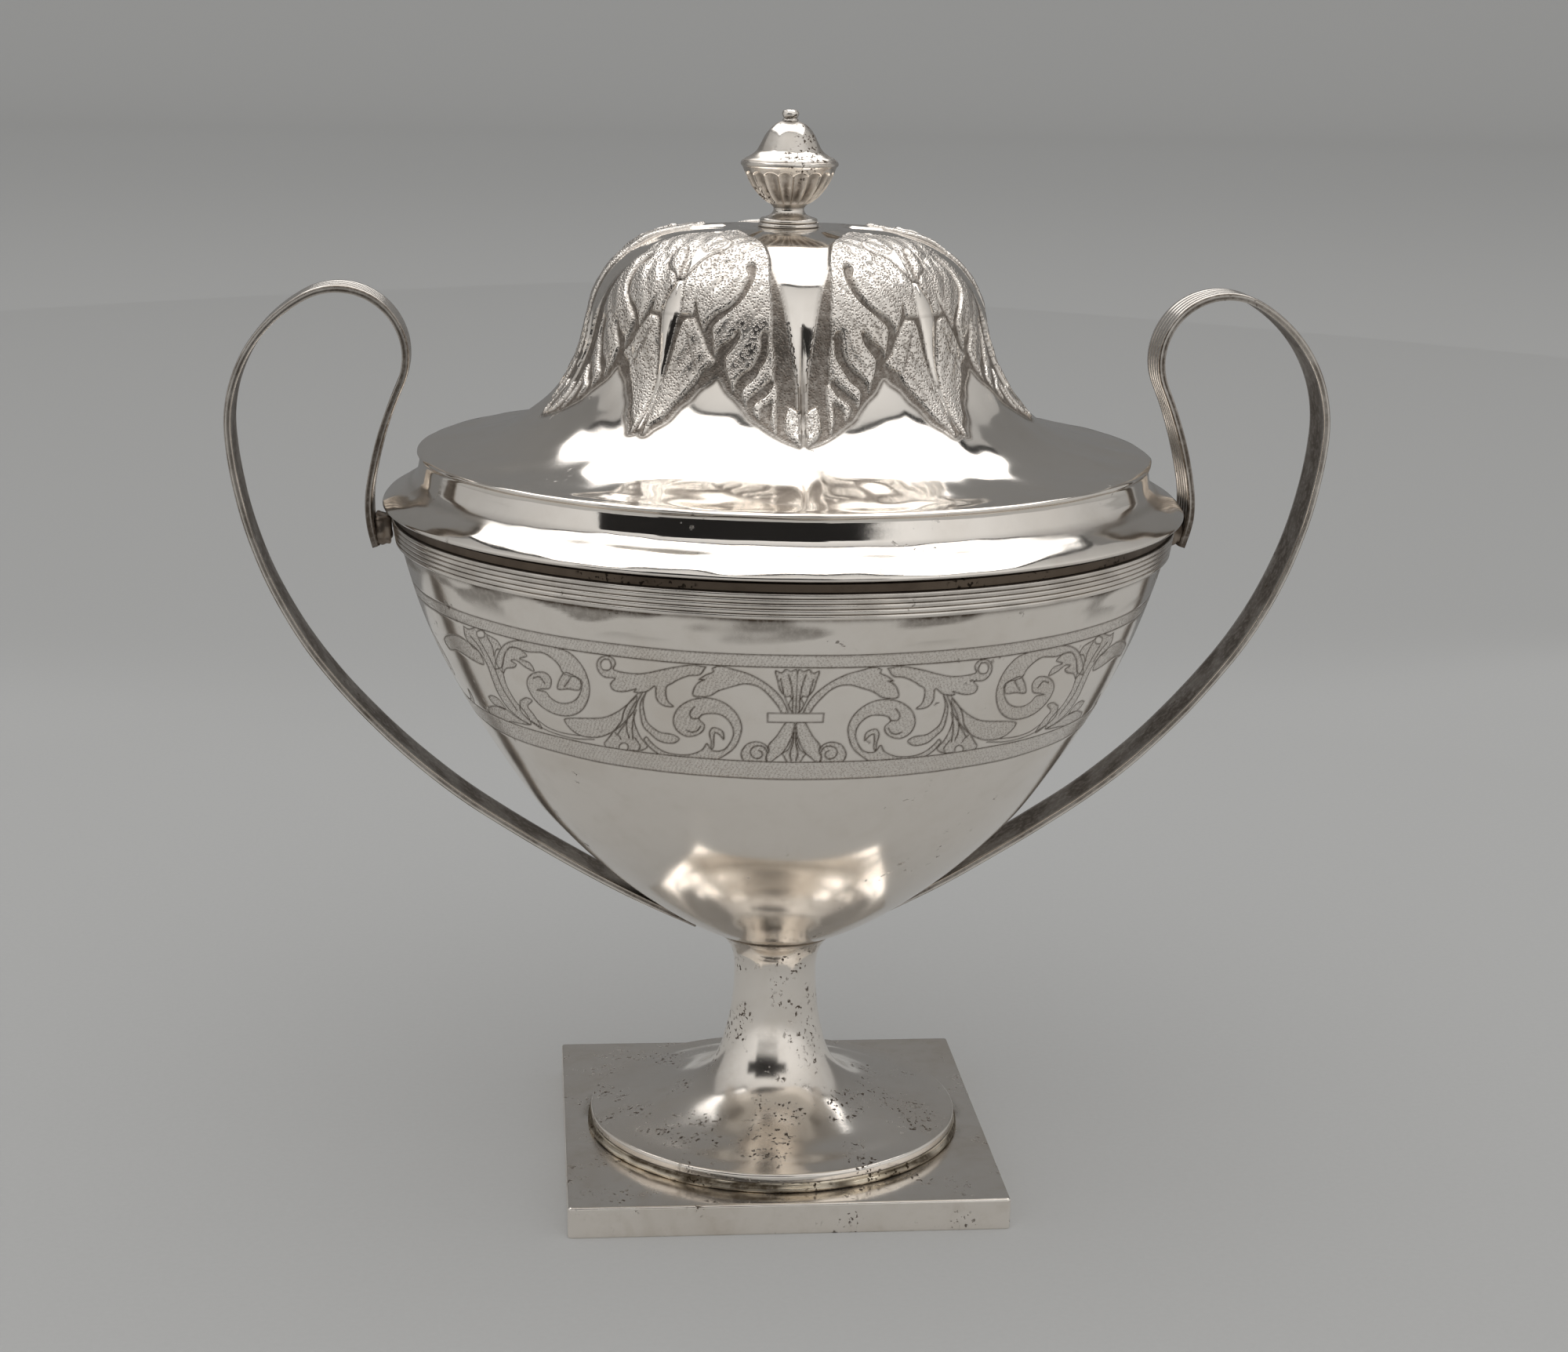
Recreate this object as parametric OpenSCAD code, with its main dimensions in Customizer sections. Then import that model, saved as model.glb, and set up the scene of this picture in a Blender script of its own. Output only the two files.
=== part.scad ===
// Covered sugar bowl on a square plinth: a raised silver bowl with a reeded
// rim and two reeded strap handles, and a domed lid with a fluted urn finial.
// Millimetres, +Z up, origin at the centre of the plinth's underside,
// +X along the line through both handles.

/* [Plinth] */
// side of the square plinth
plinth_side = 80; // [76:1:90]
// height of the plinth
plinth_h = 5.9; // [5:0.1:8]
// wall of the plinth sheet
plinth_t = 0.8; // [0.6:0.1:1.2]
// radius of the round opening in the plinth top, under the foot
plinth_hole_r = 30; // [26:0.5:31]

/* [Foot] */
// radius of the foot disc at its upper edge
foot_r = 34.9; // [34:0.1:36]
// height of the ring between plinth and foot
ring_h = 1.7; // [1.2:0.1:2.2]
// how far the ring stands out past the foot disc
ring_out = 0.6; // [0.3:0.1:1]
// extra height of the stem: everything above moves up with it
stem_extra = 0; // [0:0.5:15]

/* [Bowl and lid] */
// wall of the raised bowl, foot and lid
wall = 0.7; // [0.6:0.05:1]
// number of reeds around the rim
rim_reeds = 5; // [3:1:6]
// how far the rim reeds stand out
rim_reed_out = 0.95; // [0.7:0.05:1.1]
// how deep the lid's bezel reaches into the bowl
bezel_depth = 4; // [2:0.5:8]
// gap between the bezel's seat and the rim with the lid down
seat_gap = 0.1; // [0.05:0.05:0.3]

/* [Handles] */
// width of the handle strap
strap_w = 10; // [7:0.5:12]
// thickness of the handle strap without its reeds
strap_t = 1.1; // [0.9:0.1:1.4]
// number of reeds along the strap
strap_reeds = 5; // [3:1:6]
// height of the reeds on the strap
strap_reed_h = 0.3; // [0.2:0.05:0.4]
// width of the lugs that join the straps to the rim
lug_w = 6.5; // [5:0.5:8]

/* [Finial] */
// number of flutes around the finial cup
flutes = 18; // [12:1:20]
// radius of the rod through the finial
rod_r = 1.25; // [1:0.05:1.4]
// clearance around the rod
rod_gap = 0.05; // [0.03:0.01:0.1]

/* [Hidden] */
$fn = 96;
dz = plinth_h - 5.9 + stem_extra;      // shift of everything above the stem
half = plinth_side / 2;
silver = [0.78, 0.76, 0.73];
dark_silver = [0.66, 0.63, 0.59];
bore_r = rod_r + rod_gap;
rim_top = 124.4;

// outer outlines, from the axis outward or from the bottom up, as [radius, height]
bowl_out = [[0, 43.5], [5, 43.6], [10.8, 44.5], [16, 46.9], [22, 50.6], [28, 54.9],
            [34, 59.9], [40, 65.7], [45.6, 72], [51.2, 80], [56.3, 88], [60.7, 96],
            [64.4, 104], [67.3, 112], [69.5, 119.9], [70.25, rim_top]];
stem_out = [[28.5, 10.1], [23, 11.2], [18.4, 12.7], [14.6, 14.8], [12, 17.2], [10.4, 20],
            [9.2, 24], [8.4, 28], [8, 32], [7.8, 35.5], [7.9, 38.5], [8.5, 41], [9.7, 42.9],
            [11, 44.2]];
lid_out = [[72.4, 126.5], [72.65, 127.1], [71.2, 128.45], [69.5, 129.5], [68, 130.3],
           [66.7, 131.3], [65.95, 132.3], [65.65, 133.4], [65.8, 134.5], [66.4, 135.4],
           [66.4, 136.1], [65.4, 136.4], [60, 137.1], [55, 138.2],
           [51, 139.6], [47.4, 141.5], [44.2, 144], [41.3, 147], [39, 150.2], [37.3, 153.6],
           [36.2, 157], [35.4, 160.6], [34.5, 164], [32.7, 167.6], [29.8, 170.8],
           [25.2, 173.7], [19.6, 175.3], [12.5, 176.1], [6, 176.3], [bore_r, 176.3]];

// unit normal to the left of the direction a -> b
function nrm(a, b) = let (d = b - a) [-d[1], d[0]] / norm(d);
// points of an open line moved sideways by t
function shifted(p, t) = [for (i = [0:len(p) - 1])
    let (a = i == 0 ? nrm(p[0], p[1]) : nrm(p[i - 1], p[i]),
         b = i == len(p) - 1 ? nrm(p[i - 1], p[i]) : nrm(p[i], p[i + 1]),
         m = (a + b) / norm(a + b))
    p[i] + m * t / max(0.5, m * a)];
function rev(p) = [for (i = [len(p) - 1:-1:0]) p[i]];
// clamp radii so that no point crosses the axis
function clamp0(p, r = 0) = [for (q = p) [max(r, q[0]), q[1]]];

module lathe(p) { rotate_extrude() polygon(p); }

// ---- plinth ----
module plinth_plate() {
    color(silver) difference() {
        translate([-half, -half, plinth_h - plinth_t]) cube([plinth_side, plinth_side, plinth_t]);
        translate([0, 0, plinth_h - 2 * plinth_t]) cylinder(r = plinth_hole_r, h = 3 * plinth_t);
    }
}

// four mitred strips under the edges of the plate
module plinth_sides() {
    g = 0.04;
    color(silver) for (a = [0:90:270]) rotate([0, 0, a])
        linear_extrude(plinth_h - plinth_t)
            polygon([[-half + g, -half], [half - g, -half],
                     [half - g - plinth_t, -half + plinth_t],
                     [-half + g + plinth_t, -half + plinth_t]]);
}

// ---- foot ----
module foot_ring() {
    color(dark_silver) translate([0, 0, plinth_h])
        lathe([[foot_r - 2.4, 0], [foot_r + ring_out, 0], [foot_r + ring_out, ring_h * 0.45],
               [foot_r + ring_out * 0.35, ring_h * 0.7], [foot_r + ring_out * 0.35, ring_h],
               [foot_r - 2.4, ring_h]]);
}

module bowl_solid() {
    translate([0, 0, dz]) lathe(concat(bowl_out, [[0, rim_top]]));
}

// turned-down edge, shallow disc and trumpet stem, open underneath
module foot() {
    base = plinth_h + ring_h;
    lift = plinth_h - 5.9;
    edge = [[foot_r, base], [foot_r, base + 1.25], [foot_r - 0.35, base + 1.6]];
    line = concat(edge, [for (q = stem_out) [q[0], q[1] + lift + (q[0] < 10.5 && q[1] > 20 ? stem_extra * (q[1] - 20) / 24 : q[1] > 44 ? stem_extra : 0)]]);
    inner = shifted(line, wall);
    color(silver) difference() {
        lathe(concat(line, rev(concat([[foot_r - wall, base]], [for (i = [2:len(inner) - 1]) inner[i]]))));
        bowl_solid();
    }
}

// ---- bowl ----
module bowl() {
    inner = clamp0(shifted(bowl_out, wall));
    color(silver) translate([0, 0, dz]) difference() {
        lathe(concat(bowl_out, [[70.25 - wall * 1.01, rim_top]],
                     rev(concat([[0, 43.5 + wall]], [for (i = [1:len(inner) - 2]) inner[i]]))));
    }
}

// reeded band around the outside of the mouth
module rim_moulding() {
    z0 = 119.9;
    p = (rim_top - z0) / rim_reeds;
    base_r = [69.5, 70.25];
    reeds = [for (i = [0:rim_reeds - 1], a = [0:36:180])
        [base_r[0] + (base_r[1] - base_r[0]) * (i + 0.5 - cos(a) / 2) / rim_reeds
             + rim_reed_out - 0.38 + 0.38 * sin(a),
         z0 + p * (i + 0.5 - cos(a) / 2)]];
    color(silver) translate([0, 0, dz])
        lathe(concat([[69.5, z0]], reeds, [[70.25, rim_top]]));
}

// ---- handles ----
// the strap's middle line leaves the bowl's underside and runs through
// tangent arcs: [radius, sweep], turning left for a positive sweep
arcs = [[300, 8.4], [125, 18.9], [79.5, 32.5], [26.3, 66], [11.9, 143], [75, -14.5], [24, -27.5]];
start = [15.4, 46.7];
heading = 25.5;

// running sum of the first n sweeps
function turned(n) = n == 0 ? heading : turned(n - 1) + arcs[n - 1][1];
// end point of arc n, starting where arc n - 1 ends
function chord(r, h, s) = let (l = 2 * r * abs(sin(s / 2))) l * [cos(h + s / 2), sin(h + s / 2)];
function joint_at(n) = n == 0 ? start : joint_at(n - 1) + chord(arcs[n - 1][0], turned(n - 1), arcs[n - 1][1]);
function steps(n) = max(3, ceil(abs(arcs[n][1]) / 5));
// middle line with headings: [x, z, heading]
line3 = [for (n = [0:len(arcs) - 1]) let (p = joint_at(n), h = turned(n), m = steps(n))
             for (i = [n == 0 ? 0 : 1:m]) let (s = arcs[n][1] * i / m, q = p + chord(arcs[n][0], h, s))
                 [q[0], q[1], h + s]];
// outline between two offsets, positive to the inside of the loop
function strap_outline(o, i) = concat(
    [for (q = line3) [q[0] - o * sin(q[2]) * -1, q[1] + o * cos(q[2]) * -1]],
    rev([for (q = line3) [q[0] - i * sin(q[2]), q[1] + i * cos(q[2])]]));

module strap() {
    pitch = strap_w / strap_reeds;
    translate([0, 0, dz]) rotate([90, 0, 0]) {
        translate([0, 0, -strap_w / 2]) linear_extrude(strap_w)
            polygon(strap_outline(strap_t / 2, strap_t / 2));
        for (i = [0:strap_reeds - 1])
            translate([0, 0, -strap_w / 2 + pitch * (i + 0.2)]) linear_extrude(pitch * 0.6)
                polygon(strap_outline(strap_t / 2 + strap_reed_h, 0));
    }
}

module handle_right() { color(silver) strap(); }
module handle_left() { color(silver) mirror([1, 0, 0]) strap(); }

// small block between the strap's end and the rim
module lug() {
    translate([0, 0, dz]) difference() {
        translate([70, -lug_w / 2, 119]) cube([4.1, lug_w, 5.2]);
        translate([0, 0, 110]) cylinder(r = 71.1, h = 30);
    }
}
module lug_right() { color(dark_silver) lug(); }
module lug_left() { color(dark_silver) mirror([1, 0, 0]) lug(); }

// ---- lid ----
// flange, cove, flat shoulder and bell-shaped dome raised from one sheet
module lid() {
    inner = shifted(lid_out, wall);
    n = len(lid_out);
    color(silver) translate([0, 0, dz])
        lathe(concat(lid_out, rev(concat([[72.4 - wall, 126.5]],
              [for (i = [1:n - 2]) inner[i]], [[bore_r, 176.3 - wall]]))));
}

// upright collar with a flat seat, soldered inside the flange
module lid_bezel() {
    seat = rim_top + seat_gap;
    color(silver) translate([0, 0, dz])
        lathe([[67.3, rim_top - bezel_depth], [68.1, rim_top - bezel_depth], [68.1, seat],
               [70.5, seat], [70.5, seat + 1.3], [68.1, seat + 1.3], [68.1, 129.1], [67.3, 129.1]]);
}

// ---- finial ----
module finial_base() {
    color(silver) translate([0, 0, dz])
        lathe([[bore_r, 176.3], [5.1, 176.3], [5.5, 176.6], [5.4, 177.0], [5.0, 177.1],
               [5.2, 177.4], [5.0, 177.8], [4.3, 178.0], [3.2, 178.5], [2.75, 179.2],
               [2.75, 179.7], [bore_r, 179.7]]);
}

module finial_cup() {
    color(silver) translate([0, 0, dz]) difference() {
        lathe([[bore_r, 179.7], [2.8, 179.7], [3.1, 180.1], [4.2, 180.8], [5.2, 181.6],
               [6.0, 182.5], [6.7, 183.4], [7.3, 184.4], [7.9, 185.6], [8.25, 186.6],
               [8.6, 187.1], [8.7, 187.6], [8.5, 187.9], [bore_r, 187.9]]);
        // hollow flutes that run up the side of the cup
        for (a = [0:flutes - 1]) rotate([0, 0, (a + 0.5) * 360 / flutes])
            translate([3.35, 0, 180]) rotate([0, 38.5, 0]) cylinder(r = 0.42, h = 7.6, $fn = 16);
    }
}

module finial_cap() {
    color(silver) translate([0, 0, dz])
        lathe([[bore_r, 187.9], [8.2, 187.9], [7.9, 188.3], [6.9, 188.8], [5.9, 189.6],
               [5.3, 190.6], [4.8, 191.6], [4.35, 192.5], [3.7, 193.4], [2.8, 194.2],
               [1.7, 194.8], [bore_r, 194.8]]);
}

// rod with a bead head, through finial and lid
module finial_rod() {
    color(silver) translate([0, 0, dz]) {
        translate([0, 0, 171.4]) cylinder(r = rod_r, h = 24);
        lathe([[0, 194.9], [1.45, 194.9], [1.2, 195.3], [1.35, 195.6], [1.5, 196.1],
               [1.3, 196.6], [0.7, 196.9], [0, 196.9]]);
    }
}

module finial_washer() {
    color(dark_silver) translate([0, 0, dz + 176.3 - wall - 0.65]) difference() {
        cylinder(r = 5, h = 0.6);
        translate([0, 0, -1]) cylinder(r = bore_r, h = 3);
    }
}

module finial_nut() {
    color(dark_silver) translate([0, 0, dz + 176.3 - wall - 2.7]) difference() {
        translate([-3, -3, 0]) cube([6, 6, 2]);
        translate([0, 0, -1]) cylinder(r = bore_r, h = 4);
    }
}

plinth_plate();
plinth_sides();
foot_ring();
foot();
bowl();
rim_moulding();
handle_left();
handle_right();
lug_left();
lug_right();
lid();
lid_bezel();
finial_base();
finial_cup();
finial_cap();
finial_rod();
finial_washer();
finial_nut();
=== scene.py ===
import math

import bpy
import numpy as np
from mathutils import Matrix, Vector


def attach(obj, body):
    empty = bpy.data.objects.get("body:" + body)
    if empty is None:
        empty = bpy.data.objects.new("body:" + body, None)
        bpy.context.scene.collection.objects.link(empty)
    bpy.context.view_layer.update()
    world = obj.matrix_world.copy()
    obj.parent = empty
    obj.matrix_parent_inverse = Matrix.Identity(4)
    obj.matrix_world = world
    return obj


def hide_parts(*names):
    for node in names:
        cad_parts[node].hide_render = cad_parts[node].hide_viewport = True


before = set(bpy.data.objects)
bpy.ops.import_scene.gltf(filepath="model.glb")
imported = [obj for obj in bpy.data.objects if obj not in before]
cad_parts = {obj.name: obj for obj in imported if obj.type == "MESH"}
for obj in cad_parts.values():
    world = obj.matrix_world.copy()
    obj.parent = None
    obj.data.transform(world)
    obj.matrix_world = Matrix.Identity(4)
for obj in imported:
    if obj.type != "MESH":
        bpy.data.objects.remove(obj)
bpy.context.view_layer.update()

MM = 0.001

# ---------------------------------------------------------------- ornament
# chased leaves: [degrees from the spear, millimetres up from the lid's shoulder edge]
LEAVES = {
    "spear": [(9.6, 57), (8, 54.6), (6.3, 52.1), (5, 49.4), (4, 46.3), (3.1, 43.2), (2.2, 40), (1.5, 37.3), (1, 34), (0.8, 30.2), (0.7, 25.9)],
    "arch": [(9.6, 57), (10.5, 59), (13.2, 62.4), (17.5, 65.4), (24.2, 67.7), (35.8, 70.2), (47.3, 69.7), (53.3, 68.2), (56.9, 67.3)],
    "mantle": [(1, 23.1), (3.7, 24), (6.5, 25.4), (9.8, 27.3), (12.5, 28.7), (14.1, 30.2), (16.6, 32.1), (19.3, 33.6), (22.2, 35.9), (23.7, 35), (26.3, 33.6), (28.2, 31.6), (30.1, 30.2), (32.1, 27.3), (34.5, 25.4), (36.7, 23.5)],
    "leaf": [(33.9, 52.6), (29.2, 54.6), (25.2, 57), (21.5, 58), (17.7, 58.5), (14.2, 58.5), (10.8, 57), (9.1, 51.7), (8.1, 46.3), (8.1, 43.2), (7.1, 39.5), (7.1, 35.9), (6.2, 34.5), (6.1, 31.6), (6.1, 28.7), (6.2, 25.9), (7.4, 28.2), (7.7, 30.2), (7.7, 32.1), (8.4, 31.6), (9.5, 31.1), (10.1, 30.2), (10.1, 28.7), (11.4, 29.7), (12.1, 31.1), (11.3, 32.1), (9.3, 33.1), (8, 34.5), (7.2, 35.5), (7.9, 35.9), (8.7, 35.5), (10.2, 34.5), (12.4, 33.1), (13.6, 32.1), (13.7, 31.1), (14.6, 32.1), (15.3, 33.6), (15, 34.5), (12.8, 35.9), (10.9, 38.2), (9.4, 40), (9.1, 42.3), (9.1, 43.6), (9.9, 44.1), (10.9, 43.6), (11.2, 42.7), (11, 41.3), (11.9, 39.5), (13.4, 37.7), (15.9, 36.4), (17.1, 35), (17.3, 33.6), (18.8, 35.5), (19.8, 36.8), (20.5, 38.6), (20.6, 39.5), (18.6, 41.3), (17.3, 42.7), (17.1, 44.1), (17.9, 43.6), (18.8, 42.7), (20.6, 41.8), (22.5, 40.9), (23.1, 39.5), (24, 40.9), (24.7, 42.7), (25.1, 44.5), (23.5, 45.8), (20.2, 47.6), (17.4, 49.4), (15.6, 51.7), (14.9, 53.6), (14.9, 55.1), (15.5, 56.5), (16.6, 57), (17.5, 56.5), (17.5, 55.5), (16.2, 54.1), (16.7, 52.6), (18.4, 49.8), (20.6, 48), (24, 46.7), (26.5, 44.9), (27.3, 43.6), (29.4, 45.8), (30.9, 48), (32.6, 50.3)],
    "bottom": [(3.5, 31.6), (4.3, 29.2), (4.2, 27.3), (3.4, 25.4), (1.1, 23.5), (0.8, 23.1), (0.6, 25.9), (0.8, 30.2)],
    "blade": [(30.6, 45.8), (27.7, 43.2), (25.4, 40.4), (23.2, 38.6), (24.4, 37.7), (26.4, 36.8), (27.6, 35), (29.6, 33.1), (32, 30.6), (33.9, 27.7), (36, 25.9), (36.7, 24), (38.5, 31.6), (37.3, 35.9), (36.4, 39), (35.4, 42.7), (34, 45.4)],
    "midrib_r": [(35.9, 52.1), (33.2, 47.6), (34.4, 44.9), (35.4, 42.7), (36.4, 39), (37.3, 35.9), (37.9, 32.1), (38, 28.7), (36.7, 24.5)],
    "midrib_l": [(38.6, 51.2), (38.9, 49.8), (39.6, 46.3), (39.8, 43.6), (39.5, 40), (39.2, 36.4), (38.5, 31.6), (38.2, 28.2), (36.7, 24.5)],
    "crease": [(32.2, 43.2), (31.1, 41.3), (29.6, 39), (27.9, 36.8)],
    "budo": [(37.5, 52.6), (37.9, 54.6), (40.7, 57.5), (43.8, 60), (44.9, 62.4), (41.9, 64.4), (35.7, 64.9), (28.8, 62.9), (27.4, 61), (28.7, 59.5), (32.5, 58), (34.4, 56.5), (35.8, 54.6)],
    "budi": [(41.8, 61.9), (39.6, 63.4), (34.5, 63.9), (29.4, 62.4), (29.1, 60.5), (32.1, 59), (35.2, 58.5), (38.2, 59.5)],
    "small": [(48.8, 57), (49.2, 58), (48.8, 59.5), (46, 60), (42.1, 57.5), (40.8, 55.1), (39.3, 52.1), (42.2, 53.6), (45.9, 54.6)],
}
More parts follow.
